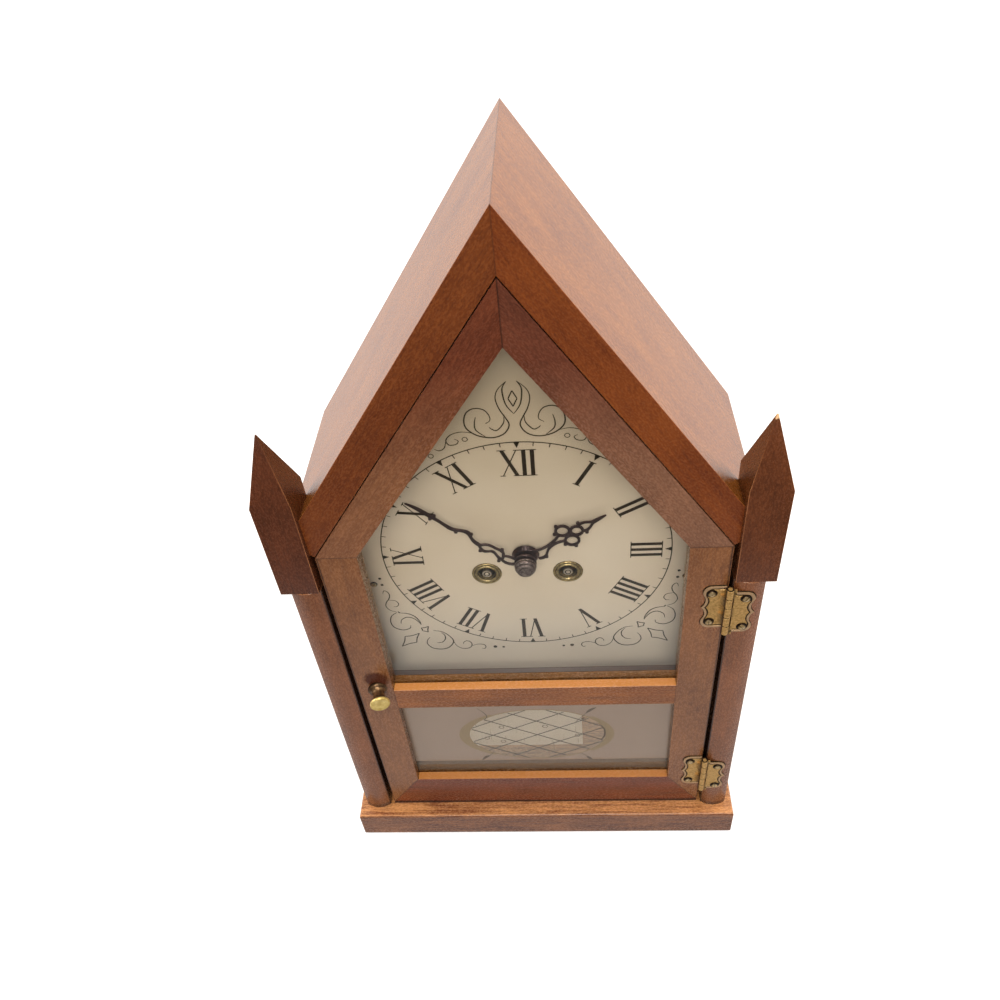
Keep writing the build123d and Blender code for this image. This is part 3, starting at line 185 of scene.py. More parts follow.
def show(name, shape, material):
    """Makes an object of a finished shape, standing at the origin."""
    mesh = bpy.data.meshes.new(name)
    shape.to_mesh(mesh)
    shape.free()
    mesh.materials.append(material)
    piece = bpy.data.objects.new(name, mesh)
    bpy.context.scene.collection.objects.link(piece)
    return piece


sheet = bmesh.new()
table_reach = 4.0
sheet.faces.new([sheet.verts.new((x * table_reach, y * table_reach, -mm))
                 for x, y in ((-1, -1), (1, -1), (1, 1), (-1, 1))])
show("table", sheet, table_paper)

for name, place, target, wide, power, tint in (
        ("ceiling lamp", (0.1, -0.2, 1.9), (0.0, 0.0, 0.2), 1.1, 14.5, (1.0, 0.95, 0.88)),
        ("front lamp", (-0.25, -1.6, 1.25), (0.0, 0.0, 0.25), 0.9, 2.5, (1.0, 0.94, 0.84)),
        ("near lamp", (0.05, -1.15, 1.3), (0.0, 0.0, 0.25), 0.7, 16.2, (1.0, 0.94, 0.85)),
        ("left lamp", (-1.3, 0.3, 1.0), (0.0, 0.05, 0.35), 0.9, 22.0, (1.0, 0.95, 0.9)),
        ("right lamp", (1.3, 0.3, 1.0), (0.0, 0.05, 0.35), 0.9, 22.0, (1.0, 0.95, 0.9))):
    light = bpy.data.lights.new(name, "AREA")
    light.size, light.energy, light.color = wide, power, tint
    lamp = bpy.data.objects.new(name, light)
    lamp.location = place
    lamp.rotation_euler = (Vector(target) - Vector(place)).to_track_quat("-Z", "Y").to_euler()
    bpy.context.scene.collection.objects.link(lamp)

yaw, pitch, roll = radians(-5.643), radians(-41.714), radians(-5.858)
ahead = Vector((sin(yaw) * cos(pitch), cos(yaw) * cos(pitch), sin(pitch)))
level = Vector((cos(yaw), -sin(yaw), 0.0))
above = level.cross(ahead)
right = cos(roll) * level + sin(roll) * above
upward = cos(roll) * above - sin(roll) * level
view = bpy.data.cameras.new("camera")
view.lens, view.sensor_width = 31.26, 36.0
view.shift_x, view.shift_y = -0.0025, -0.0271
view.clip_start = 0.01
camera = bpy.data.objects.new("camera", view)
camera.matrix_world = Matrix.Translation((0.02595, -0.37241, 0.64106)) @ Matrix(
    (right, upward, -ahead)).transposed().to_4x4()
bpy.context.scene.collection.objects.link(camera)
bpy.context.scene.camera = camera

# The base board: one thick slab of maple under brown stain and satin lacquer, its edges eased
# with sandpaper. It is screwed up into the walls from below.
board_count = 0


def stained_maple(name, pale, deep, lean=0.0, joints=(), painted_top_light=0.0, bare_above=None, front=None,
                  darker=None, shade_bands=(), streaky=0.42, joint_share=0.7):
    """Maple, wiped with orange-brown stain and sprayed with satin lacquer. The stain takes in fine
    mottles and soft patches, darker in short pores, and is worn pale on eased edges. The painted top
    light pales the upward faces, a painted highlight, and a front colour deepens the faces to the
    front, painted shade. Darker deepens smoothly from one height to another, and each shade band is a
    dark band of painted shade along a plane, at a gap or a foot. Streaky weighs the long streaks
    against the patches, and joint_share is how dark the lines at the joints are."""
    global board_count
    board_count += 1
    material, tree, place = new_material(f"stained maple, {name}")
    turned = add(tree, "ShaderNodeMapping", None, {
        "Vector": place, "Rotation": (0.0, lean, 0.0),
        "Location": (0.31 * board_count, 0.17 * board_count, 0.0)}).outputs[0]
    facing = axes(tree, add(tree, "ShaderNodeNewGeometry").outputs["Normal"])
    height = axes(tree, place)["Z"]

    def figure(long_mm, wide_mm, detail, rough=0.5):
        return noise(tree, stretch(tree, turned, long_mm, wide_mm, wide_mm), 1.0, detail, rough)

    def along(normal):
        return add(tree, "ShaderNodeVectorMath", {"operation": "DOT_PRODUCT"}, {0: place, 1: normal}).outputs["Value"]

    patches, streaks = figure(34, 15, 2.0), figure(30, 1.3, 3.0, 0.6)
    mottle, pores = figure(2.0, 0.9, 3.0, 0.7), figure(3.2, 0.4, 2.0, 0.7)
    spread = reckon(tree, "MULTIPLY", patches, 0.4)
    for part, weight in ((streaks, streaky), (mottle, 0.8)):
        spread = reckon(tree, "MULTIPLY_ADD", part, weight, spread)
    colour = mixed(tree, span(tree, spread, 0.35 + streaky / 2, 0.85 + streaky / 2), deep, pale)
    speck = span(tree, pores, 0.55, 0.72, 0.0, 0.55)
    colour = mixed(tree, speck, colour, "#7a5238", "MULTIPLY")
    worn = add(tree, "ShaderNodeAttribute", {"attribute_name": "worn"}).outputs["Fac"]
    colour = mixed(tree, reckon(tree, "MULTIPLY", worn, streaks), colour, "#b8794a")
    # The upward faces paler: a painted highlight.
    if painted_top_light:
        colour = mixed(tree, span(tree, facing["Z"], 0.35, 0.9, 0.0, painted_top_light), colour, "#d08a48")
    if bare_above:
        ragged = reckon(tree, "MULTIPLY_ADD", mottle, 3 * mm, height)
        colour = mixed(tree, span(tree, ragged, bare_above + 1.2 * mm, bare_above + 1.6 * mm), colour, "#d9b083")
    # The faces to the front deeper: painted shade.
    if front:
        colour = mixed(tree, span(tree, facing["Y"], -0.3, -0.9), colour, front, "MULTIPLY")
    if darker:
        low, high, tint = darker
        colour = mixed(tree, span(tree, height, low, high), colour, tint, "MULTIPLY")
    # Dark bands along planes: painted shade at gaps and feet.
    for normal, offset, wide, share in shade_bands:
        off = reckon(tree, "ABSOLUTE", reckon(tree, "SUBTRACT", along(normal), offset))
        colour = mixed(tree, span(tree, off, wide * 0.45, wide, share, 0.0, True), colour, "#2e1c18", "MULTIPLY")
    for normal, offset in joints:
        line = reckon(tree, "COMPARE", along(normal), offset, 0.3 * mm)
        colour = mixed(tree, reckon(tree, "MULTIPLY", line, joint_share), colour, "#1d0d06")
    bump = raised(tree, reckon(tree, "SUBTRACT", streaks, speck), 0.3, 0.05)
    return surface(material, {
        "Base Color": colour, "Roughness": 0.7, "Specular IOR Level": 0.1, "Normal": bump, "Coat Weight": 1.0,
        "Coat Roughness": span(tree, mottle, 0.0, 1.0, 0.2, 0.34), "Coat IOR": 1.5, "Coat Normal": bump})


def settle(piece):
    """Turns what a piece's modifiers make of it into its plain mesh."""
    graph = bpy.context.evaluated_depsgraph_get()
    mesh = bpy.data.meshes.new_from_object(piece.evaluated_get(graph))
    piece.modifiers.clear()
    piece.data = mesh
    return piece


def shade(shape, angle):
    """Smooth shading that breaks at edges sharper than the angle."""
    for face in shape.faces:
        face.smooth = True
    for edge in shape.edges:
        edge.smooth = len(edge.link_faces) == 2 and edge.calc_face_angle(0.0) < radians(angle)


def welded(node):
    """A copy of a node's solid, with the corners that its faces share made one."""
    shape = bmesh.new()
    shape.from_mesh(frame["nodes"][node].data)
    bmesh.ops.remove_doubles(shape, verts=shape.verts, dist=0.002 * mm)
    return shape


def ride_in_place(piece, node):
    """Lets a finished piece stand for a node, on the body that carries the node."""
    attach(piece, frame["nodes"][node]["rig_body"])
    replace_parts(piece, node)


def dress(node, material, easing, joints=(), pushed=None):
    """Copies a node's solid, eases its free edges and puts it in the node's place. Edges that lie on
    a joint stay sharp, and eased ones are marked for the stain to rub. A corner for which pushed
    gives a way is moved by it first."""
    shape = welded(node)
    bmesh.ops.dissolve_limit(shape, angle_limit=radians(0.6), verts=shape.verts, edges=shape.edges)
    worn = shape.verts.layers.float.new("worn")
    for vert in shape.verts if pushed else ():
        vert.co += Vector(pushed(vert.co))

    def fitted(edge):
        return any(all(abs(Vector(normal).dot(v.co) - offset) < 0.05 * mm for v in edge.verts)
                   for normal, offset in joints)

    free = [e for e in shape.edges if len(e.link_faces) == 2 and e.calc_length() > 3 * easing * mm
            and e.calc_face_angle(0.0) > radians(30) and not fitted(e)]
    made = bmesh.ops.bevel(shape, geom=free, offset=easing * mm, segments=3, profile=0.6,
                           affect="EDGES", clamp_overlap=False)
    strip = set(made["faces"])
    for vert in made["verts"]:
        if all(face in strip for face in vert.link_faces):
            vert[worn] = 1.0
    shade(shape, 34)
    piece = show(f"{node}_finished", shape, material)
    piece.modifiers.new("weights", "WEIGHTED_NORMAL").keep_sharp = True
    ride_in_place(settle(piece), node)


base_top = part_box("base_board")[1][2]
# Its faces to the front are deepened by the front colour: painted shade.
dress("base_board", stained_maple("base", "#d0925a", "#6b3514", front="#b4a294", streaky=1.1), 0.7)

# A dark sheet on the base's top, in the gap under the door's foot: painted shade.
painted_gap_shade, _, _ = new_material("painted shade in the gap")
surface(painted_gap_shade, {"Base Color": linear("#2e1c18"), "Roughness": 0.8, "Alpha": 0.75})
gap_left, gap_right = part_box("door_stile_left")[0][0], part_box("door_stile_right")[1][0]
gap_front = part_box("door_bottom_rail")[0][1] - 0.6 * mm
gap_back, gap_shade_top = gap_front + 4.6 * mm, base_top + 0.05 * mm
gap_shade_sheet = bmesh.new()
gap_shade_sheet.faces.new([gap_shade_sheet.verts.new((x, y, gap_shade_top)) for x, y in (
    (gap_left, gap_front), (gap_right, gap_front), (gap_right, gap_back), (gap_left, gap_back))])
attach(show("gap_shade", gap_shade_sheet, painted_gap_shade), "case")

# The case: two side walls, two roof boards mitred at the ridge, and two columns with a round
# front, glued and pinned. The same stained maple, with each board's grain along its length.
upright = radians(90)
slope = radians(55.65)
foot_joint = ((0.0, 0.0, 1.0), base_top)
ridge_joint = ((1.0, 0.0, 0.0), 0.0)
# The front colour deepens each roof board's face to the front, the left one more: painted shade.
for side, lean, front in (("left", slope, "#c6aa90"), ("right", pi - slope, "#d8b68c")):
    column_low, column_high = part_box(f"column_{side}")
    inner_edge = column_high[0] if side == "left" else column_low[0]
    dress(f"side_wall_{side}",
          stained_maple(f"wall {side}", "#8a4c20", "#562a0e", upright, (foot_joint,)), 0.5, (foot_joint,))
    dress(f"roof_board_{side}", stained_maple(
        f"roof {side}", "#a06225", "#6a3510", lean, (ridge_joint,), front=front, joint_share=0.35),
        0.35, (ridge_joint,))
    # The columns are darkened in a band along the foot and along the inner edge by the door: painted shade.
    dress(f"column_{side}", stained_maple(
        f"column {side}", "#8a5330", "#5a3218", upright, (foot_joint,),
        shade_bands=((*foot_joint, 6 * mm, 0.6), ((1.0, 0.0, 0.0), inner_edge, 0.9 * mm, 0.85))), 0.3, (foot_joint,))

# The finials: square maple blocks cut to a tall point, glued on the columns. The right one has
# lost its sharp tip, and the bare wood shows there.
broken_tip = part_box("finial_right")[1][2] - 2.2 * mm
for side, pale, deep, bare in (("left", "#64331a", "#3d1c0a", None), ("right", "#6e3a1a", "#46210b", broken_tip)):
    dress(f"finial_{side}", stained_maple(f"finial {side}", pale, deep, upright, bare_above=bare), 0.35)

# Inside the case: a thin back panel let into the rear, two strips that stop the door and two
# cleats for the dial. Plain maple, unstained and browned by age.


def raw_board(name, pale, deep, lean):
    """Bare maple, planed and left without finish, dull and faintly grey along the grain."""
    material, tree, place = new_material(name)
    turned = add(tree, "ShaderNodeMapping", None, {"Vector": place, "Rotation": (0.0, lean, 0.0)}).outputs[0]
    grain = noise(tree, stretch(tree, turned, 90, 2.4, 2.4), 1.0, 5.0, 0.65)
    return surface(material, {"Base Color": mixed(tree, grain, deep, pale), "Roughness": 0.78,
                              "Normal": raised(tree, grain, 0.5, 0.1)})


def finish_node(node, material):
    """Gives a solid that is right as it is its real finish."""
    for slot in frame["nodes"][node].material_slots:
        slot.material = material


bare_maple = raw_board("bare maple, browned", "#8d6240", "#5e3c25", upright)
dress("back_panel", raw_board("bare maple, back panel", "#9a6f4a", "#6d4a2f", upright), 0.3)
for node in ("door_stops", "dial_cleats"):
    finish_node(node, bare_maple)

# The paper label: a sheet of white paper pasted on the floor of the case, yellowed a little
# and foxed at its edges. Its face is bare.
label_paper, tree, place = new_material("pasted white paper")
foxing = span(tree, noise(tree, place, 45.0, 3.0), 0.45, 0.8)
surface(label_paper, {"Base Color": mixed(tree, foxing, "#fff5ef", "#f1e0d4"), "Roughness": 0.82,
                      "Normal": raised(tree, noise(tree, place, 900.0, 3.0), 0.2, 0.03)})
label_low, label_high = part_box("paper_label")
label_low = (label_low[0], label_low[1] + 4.5 * mm, label_low[2])
sheet = bmesh.new()
bmesh.ops.create_cube(sheet, size=1.0)
for vert in sheet.verts:
    vert.co = [low + (high - low) * (share + 0.5) for low, high, share in zip(label_low, label_high, vert.co)]
ride_in_place(show("pasted_label", sheet, label_paper), "paper_label")

# The movement: brass plates, wheels and drums, steel arbors, pillars, straps and springs, and
# the iron gong block. Cut and stamped parts, wiped bright once and since gone dull.


def worked_metal(name, bright, dull, spot_mm, rough, metallic=1.0):
    """Metal that was stamped, cut or turned and has dulled in spots, with fine scratches. Soiling and
    painted shade darken it where the piece's corners are marked for them, and wear lightens it where
    it is worn."""
    material, tree, place = new_material(name)
    spread = span(tree, noise(tree, place, 1 / (spot_mm * mm), 4.0, 0.6), 0.35, 0.68)
    colour = mixed(tree, spread, dull, bright)
    for attribute, tint in (("grime_and_shade", "#231507"), ("worn", "#bc9c7e")):
        share = add(tree, "ShaderNodeAttribute", {"attribute_name": attribute}).outputs["Fac"]
        colour = mixed(tree, share, colour, tint)
    scratches = noise(tree, stretch(tree, place, 6, 0.4, 0.4), 1.0, 2.0)
    return surface(material, {
        "Base Color": colour, "Metallic": metallic, "Roughness": span(tree, spread, 0.0, 1.0, rough + 0.18, rough),
        "Normal": raised(tree, scratches, 0.25, 0.02)})


metals = {"movement_brass": worked_metal("stamped brass, dulled", "#c9a860", "#8f7440", 7.0, 0.3),
          "steel": worked_metal("drawn steel", "#9a9894", "#6d6a66", 5.0, 0.32),
          "dark_iron": worked_metal("cast iron, black japan", "#1b1a19", "#100f0e", 1.2, 0.4, 0.0)}
for entry in frame["record"]["subparts"]:
    if entry["material_slot"] in metals:
        finish_node(entry["node"], metals[entry["material_slot"]])

# The dial: a zinc plate cut to the gable and held by two small screws. Its smooth ivory face is
# mottled, paler and greyer below, darker towards the apex with painted shade under the gable, and
# stops short of the plate's foot, where bare zinc shows.
dial_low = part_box("dial_plate")[0]
dial_y = dial_low[1]
nut_low, nut_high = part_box("hand_nut")
centre_x, centre_z = (nut_low[0] + nut_high[0]) / 2, (nut_low[2] + nut_high[2]) / 2
zinc_edge = dial_low[2] + 5.1 * mm
ivory, tree, place = new_material("ivory dial paint")
colour = mixed(tree, span(tree, noise(tree, place, 1 / (60 * mm), 3.0), 0.3, 0.7), "#e6d2c4", "#dbc5b3")
grain = span(tree, noise(tree, place, 1 / (0.7 * mm), 2.0), 0.0, 1.0, 0.0, 0.12)
colour = mixed(tree, grain, colour, "#8d7c66", "MULTIPLY")
height = axes(tree, place)["Z"]
# Paler and greyer below the middle; darker towards the apex above it, painted shade.
for low, high, most, tint in ((-20, -85, 0.7, "#e0d3cc"), (20, 125, 0.66, "#a9927a")):
    share = span(tree, height, centre_z + low * mm, centre_z + high * mm, 0.0, most, True)
    colour = mixed(tree, share, colour, tint)
colour = mixed(tree, reckon(tree, "LESS_THAN", height, zinc_edge), colour, "#a99da3")
colour = mixed(tree, reckon(tree, "COMPARE", height, zinc_edge, 0.3 * mm), colour, "#6a5c5e")
finish_node("dial_plate", surface(ivory, {"Base Color": colour, "Roughness": 0.55, "Specular IOR Level": 0.35}))

# The print on the dial: a thin minute circle with its marks, upright Roman hours set round it,
# and pen-drawn scrolls above and in the lower corners. One pass of brown-black ink.
printing_ink, tree, place = new_material("brown-black printing ink")
thin = span(tree, noise(tree, place, 1 / (1.1 * mm), 3.0), 0.5, 0.9, 0.0, 0.45)
surface(printing_ink, {"Base Color": mixed(tree, thin, "#22140b", "#5a4532"), "Roughness": 0.5})
ink_lift = 0.05 * mm
print_layer = 0


def circle(radius, count, x=0.0, z=0.0):
    """Places round a circle, from its right side on."""
    return [(x + radius * cos(2 * pi * i / count), z + radius * sin(2 * pi * i / count)) for i in range(count)]


def face_to_front(shape, corners):
    """A flat face that looks to the front."""
    face = shape.faces.new([shape.verts.new(corner) for corner in corners])
    face.normal_update()
    if face.normal.y > 0:
        face.normal_flip()


def patch(shape, corners):
    """One inked shape on the dial, from corners in millimetres about the dial's centre."""
    global print_layer
    print_layer += 1
    y = dial_y - ink_lift - (print_layer % 20) * 0.001 * mm
    face_to_front(shape, [(centre_x + x * mm, y, centre_z + z * mm) for x, z in corners])


def smooth_line(points, steps=7):
    """A smooth line through the points, as a closely spaced row of places."""
    ends = [points[0], *points, points[-1]]
    line = []
    for a, b, c, d in zip(ends, ends[1:], ends[2:], ends[3:]):
        for step in range(steps):
            t = step / steps
            line.append(tuple(0.5 * (2 * q + (r - p) * t + (2 * p - 5 * q + 4 * r - s) * t ** 2
                                     + (3 * q - p - 3 * r + s) * t ** 3) for p, q, r, s in zip(a, b, c, d)))
    return line + [points[-1]]


def stroke_sides(line, wide, ends, swell, closed=False):
    """The two sides of a stroke along a line. It is widest in its middle, or keeps its width all
    round where it is closed."""
    count = len(line)
    sides = []
    for i, (x, z) in enumerate(line):
        a = line[i - 1] if i or closed else line[0]
        b = line[(i + 1) % count] if i < count - 1 or closed else line[-1]
        run = hypot(b[0] - a[0], b[1] - a[1]) or 1.0
        half = wide / 2 * (1.0 if closed else ends + (1 - ends) * sin(pi * i / (count - 1)) ** swell)
        nx, nz = -(b[1] - a[1]) / run * half, (b[0] - a[0]) / run * half
        sides.append(((x + nx, z + nz), (x - nx, z - nz)))
    return sides


def pen_line(shape, points, wide, ends=0.4, closed=False):
    """A pen stroke through the points, or straight from each to the next where it is closed."""
    sides = stroke_sides(points if closed else smooth_line(points), wide, ends, 0.7, closed)
    for (a, b), (c, d) in zip(sides, sides[1:] + (sides[:1] if closed else [])):
        patch(shape, [a, c, d, b])


def mirrored_to(side, points):
    """Points moved to the left side where side is -1."""
    return [(side * x, z) for x, z in points]


numeral_foot, numeral_top = 61.9, 80.8
thick, thin_stroke, serif, serif_reach = 2.3, 0.7, 0.6, 1.2
at_foot, at_top = 1, 2
advance = {"I": 4.6, "V": 10.4, "X": 11.2}
strokes = {"I": [(0.5, 0.5, thick, at_foot | at_top)],
           "V": [(0.5, 0.14, thick, at_top), (0.5, 0.86, thin_stroke, at_top)],
           "X": [(0.86, 0.14, thick, at_foot | at_top), (0.14, 0.86, thin_stroke, at_foot | at_top)]}
hours = ("XII", "I", "II", "III", "IIII", "V", "VI", "VII", "VIII", "IX", "X", "XI")
letters = bmesh.new()


def ink_numeral(turn, *corners):
    """One part of a numeral, from corners across and along it, turned to its hour."""
    patch(letters, [(u * cos(turn) + v * sin(turn), v * cos(turn) - u * sin(turn)) for u, v in corners])


for hour, numeral in enumerate(hours):
    turn = radians(30 * hour)
    cursor = -sum(advance[sign] for sign in numeral) / 2
    for sign in numeral:
        for low, high, wide, serifs in strokes[sign]:
            foot, top = cursor + low * advance[sign], cursor + high * advance[sign]
            ink_numeral(turn, (foot - wide / 2, numeral_foot), (foot + wide / 2, numeral_foot),
                        (top + wide / 2, numeral_top), (top - wide / 2, numeral_top))
            reach = wide / 2 + serif_reach
            for end, u, v, rise in ((at_foot, foot, numeral_foot, serif), (at_top, top, numeral_top, -serif)):
                if serifs & end:
                    ink_numeral(turn, (u - reach, v), (u + reach, v), (u + reach, v + rise), (u - reach, v + rise))
        cursor += advance[sign]
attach(show("dial_numerals", letters, printing_ink), "case")

minute_radius = 86.2
scrolls = bmesh.new()
pen_line(scrolls, circle(minute_radius, 180), 0.7, closed=True)
for side in (-1, 1):
    for points, wide in (
            (((2.6, 125.9), (7.2, 121.0), (8.8, 115.4), (7.3, 108.6), (4.8, 103.4), (2.9, 97.9), (6.0, 92.2),
              (12.4, 89.8), (20.0, 91.6), (25.2, 96.2), (26.3, 101.5), (24.6, 107.0), (20.4, 109.6), (15.6, 108.6),
              (13.1, 105.2), (12.7, 101.5), (15.3, 99.3)), 0.75),
            (((2.6, 125.9), (4.6, 122.4), (4.9, 118.3), (3.6, 111.0), (0.0, 105.2)), 0.7),
            (((20.0, 104.0), (21.0, 99.3), (20.4, 95.0), (16.0, 90.7)), 0.65),
            (((5.3, 103.6), (5.8, 99.3), (9.5, 94.7), (12.4, 95.7), (13.4, 97.0)), 0.65),
            (((21.9, 93.2), (28.5, 94.5), (34.3, 92.8), (37.2, 89.1), (35.8, 85.9), (32.1, 86.2), (30.7, 88.4),
              (32.6, 89.8)), 0.6),
            (((37.2, 89.1), (38.7, 84.0), (41.6, 82.2), (44.1, 83.3)), 0.55)):
        pen_line(scrolls, mirrored_to(side, points), wide * 1.15)
    for x, z in ((27.1, 89.4), (46.7, 78.6)):
        pen_line(scrolls, circle(1.4, 16, side * x, z), 0.5, closed=True)
    for points, wide in (
            (((92, -34), (91, -31), (89, -32), (88, -35), (89, -39), (91, -42), (92, -46), (90, -50),
              (86, -52)), 0.7),
            (((89, -40), (85, -41), (83.5, -44), (85, -46.5), (87, -46.5)), 0.6),
            (((86, -52.5), (90, -56), (91.5, -62), (90, -67.5), (85, -70.5), (80, -69), (79, -66)), 0.8),
            (((85, -64), (84, -60), (80, -57.5), (76, -59), (73, -63), (72, -65.5)), 0.75),
            (((84, -53), (79, -54), (75, -57), (72.5, -62), (72, -65.5)), 0.8),
            (((68, -79), (70, -82), (70.5, -86), (67.5, -90.5), (62, -92), (57, -90.5), (53.5, -86), (53, -82),
              (56, -76.5), (60, -73), (65, -72)), 0.85),
            (((64, -85), (60.5, -84.5), (58, -81), (58, -77), (60, -74)), 0.75),
            (((53, -82), (51.5, -88), (48, -91.5), (43.5, -91.5), (41, -88.5), (41.5, -85), (44, -83.5), (46, -85),
              (46.5, -87)), 0.7),
            (((41, -89), (37, -87.5), (33, -88), (31.8, -90.5), (33, -92.5), (34.5, -92)), 0.65),
            (((85.2, -51.6), (84, -53.2)), 1.0)):
        pen_line(scrolls, mirrored_to(-side, points), wide)
    for tips in (((74.5, -74.5), (84.5, -77.5), (88, -88), (77.5, -84)),
                 ((72.5, -69), (67.5, -67.5), (68.5, -73.5), (72, -72))):
        corners = mirrored_to(-side, tips)
        middle = [sum(p[i] for p in corners) / 4 for i in (0, 1)]
        for a, b in zip(corners, corners[1:] + corners[:1]):
            bend = [(a[i] + b[i]) / 2 * 0.86 + middle[i] * 0.14 for i in (0, 1)]
            pen_line(scrolls, [a, bend, b], 0.75, 0.8)
    for x, z, radius in ((91.5, -19.4, 1.0), (91.0, -25.3, 1.0), (25.5, -90.5, 1.3), (20.0, -91.0, 0.9)):
        patch(scrolls, circle(radius, 14, side * x, z))
diamond = ((0.0, 120.0), (2.3, 115.0), (0.0, 110.0), (-2.3, 115.0))
for a, b in zip(diamond, diamond[1:] + diamond[:1]):
    pen_line(scrolls, [a, b], 0.7, 0.9)
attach(show("dial_scrolls", scrolls, printing_ink), "case")


def marks_tree():
    """Marks set round a circle: its inputs are their count, the circle, their length, the width of
    each end and the ink."""
    tree = bpy.data.node_groups.new("marks round the dial", "GeometryNodeTree")
    for name, kind in (("Count", "Int"), ("Radius", "Float"), ("Length", "Float"), ("Outer Width", "Float"),
                       ("Inner Width", "Float"), ("Ink", "Material")):
        tree.interface.new_socket(name, in_out="INPUT", socket_type=f"NodeSocket{kind}")
    tree.interface.new_socket("Geometry", in_out="OUTPUT", socket_type="NodeSocketGeometry")
    given = add(tree, "NodeGroupInput").outputs
    ring = add(tree, "GeometryNodeMeshCircle", None, {"Vertices": given["Count"], "Radius": given["Radius"]})
    mark = add(tree, "GeometryNodeMeshGrid", None, {
        "Size X": 1.0, "Size Y": given["Length"], "Vertices X": 2, "Vertices Y": 2})
    corner = axes(tree, add(tree, "GeometryNodeInputPosition").outputs[0])
    outer = add(tree, "FunctionNodeCompare", {"operation": "GREATER_THAN"}, {0: corner["Y"], 1: 0.0})
    wide = add(tree, "GeometryNodeSwitch", {"input_type": "FLOAT"}, {
        0: outer.outputs[0], 1: given["Inner Width"], 2: given["Outer Width"]})
    moved = add(tree, "ShaderNodeCombineXYZ", None, {
        "X": reckon(tree, "MULTIPLY", corner["X"], wide.outputs[0]),
        "Y": reckon(tree, "ADD", corner["Y"], reckon(tree, "MULTIPLY", given["Length"], -0.5))})
    shaped = add(tree, "GeometryNodeSetPosition", None, {
        "Geometry": mark.outputs["Mesh"], "Position": moved.outputs[0]})
    share = reckon(tree, "DIVIDE", add(tree, "GeometryNodeInputIndex").outputs[0], given["Count"])
    spin = add(tree, "ShaderNodeCombineXYZ", None, {"Z": reckon(tree, "MULTIPLY_ADD", share, 2 * pi, -pi / 2)})
    placed = add(tree, "GeometryNodeInstanceOnPoints", None, {
        "Points": ring.outputs["Mesh"], "Instance": shaped.outputs[0], "Rotation": spin.outputs[0]})
    stood = add(tree, "GeometryNodeTransform", None, {
        "Geometry": placed.outputs[0], "Rotation": (pi / 2, 0.0, 0.0),
        "Translation": (centre_x, dial_y - 1.5 * ink_lift, centre_z)})
    real = add(tree, "GeometryNodeRealizeInstances", None, {0: stood.outputs[0]})
    inked = add(tree, "GeometryNodeSetMaterial", None, {"Geometry": real.outputs[0], "Material": given["Ink"]})
    add(tree, "NodeGroupOutput", None, {0: inked.outputs[0]})
    return tree


marks = marks_tree()
for name, count, long_mm, outer_mm, inner_mm in (("minute_marks", 60, 2.8, 0.55, 0.55),
                                                 ("hour_marks", 12, 4.0, 3.5, 0.1)):
    values = {"Count": count, "Radius": minute_radius * mm, "Length": long_mm * mm,
              "Outer Width": outer_mm * mm, "Inner Width": inner_mm * mm, "Ink": printing_ink}
    piece = show(name, bmesh.new(), printing_ink)
    layout = piece.modifiers.new("marks", "NODES")
    layout.node_group = marks
    for item in marks.interface.items_tree:
        if item.in_out == "INPUT":
            layout[item.identifier] = values[item.name]
    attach(settle(piece), "case")

# The winding holes' grommets: rings pressed from thin brass with a rolled edge, pushed into the
# dial. Brass on the crown, darkened in the throat and round the foot by soiling and painted shade.
# The winding arbors' ends stand in them, darkened round their sides the same way.
winding_x, winding_z = 24.7 * mm, centre_z - 17.3 * mm


def lathe(shape, place, profile, sides=40, bore=False):
    """A turned form about an axis along Y, from (radius, depth) corners in millimetres; a depth
    grows towards the back, and a corner's third number is how dark it is, soiling and painted shade."""
    x, y, z = place
    grime_and_shade = shape.verts.layers.float.get("grime_and_shade") or shape.verts.layers.float.new("grime_and_shade")
    rings = []
    for radius, depth, *dirt_and_shade in profile:
        turns = circle(radius * mm, sides, x, z)[:sides if radius else 1]
        rings.append([shape.verts.new((u, y + depth * mm, v)) for u, v in turns])
        for vert in rings[-1] if dirt_and_shade else ():
            vert[grime_and_shade] = dirt_and_shade[0]
    for low, high in zip(rings, rings[1:] + (rings[:1] if bore else [])):
        for i in range(sides):
            j = (i + 1) % sides
            ring = [low[i % len(low)], low[j % len(low)], high[j % len(high)], high[i % len(high)]]
            face = list(dict.fromkeys(ring))
            if len(face) > 2:
                shape.faces.new(face)
    bmesh.ops.recalc_face_normals(shape, faces=shape.faces)


grommets = bmesh.new()
for side in (-1, 1):
    lathe(grommets, (side * winding_x, dial_y, winding_z), [
        (5.05, 2.1), (6.45, 2.1), (6.45, 0.0), (9.1, 0.0, 1), (9.15, -0.35, 0.4), (8.8, -0.8), (8.3, -0.95),
        (7.9, -0.8, 0.1), (7.7, -0.6, 0.6), (7.4, -0.6, 0.6), (7.15, -0.85, 0.1), (6.8, -1.2), (6.3, -1.25),
        (5.9, -1.0), (5.6, -0.5, 0.3), (5.45, -0.1, 0.7), (5.3, 0.2, 0.7), (5.1, 0.5), (5.05, 1.0)], bore=True)
shade(grommets, 50)
aged_brass = worked_metal("aged brass", "#bfa878", "#8a7350", 1.6, 0.28, 0.8)
ride_in_place(show("brass_grommets", grommets, aged_brass), "winding_grommets")

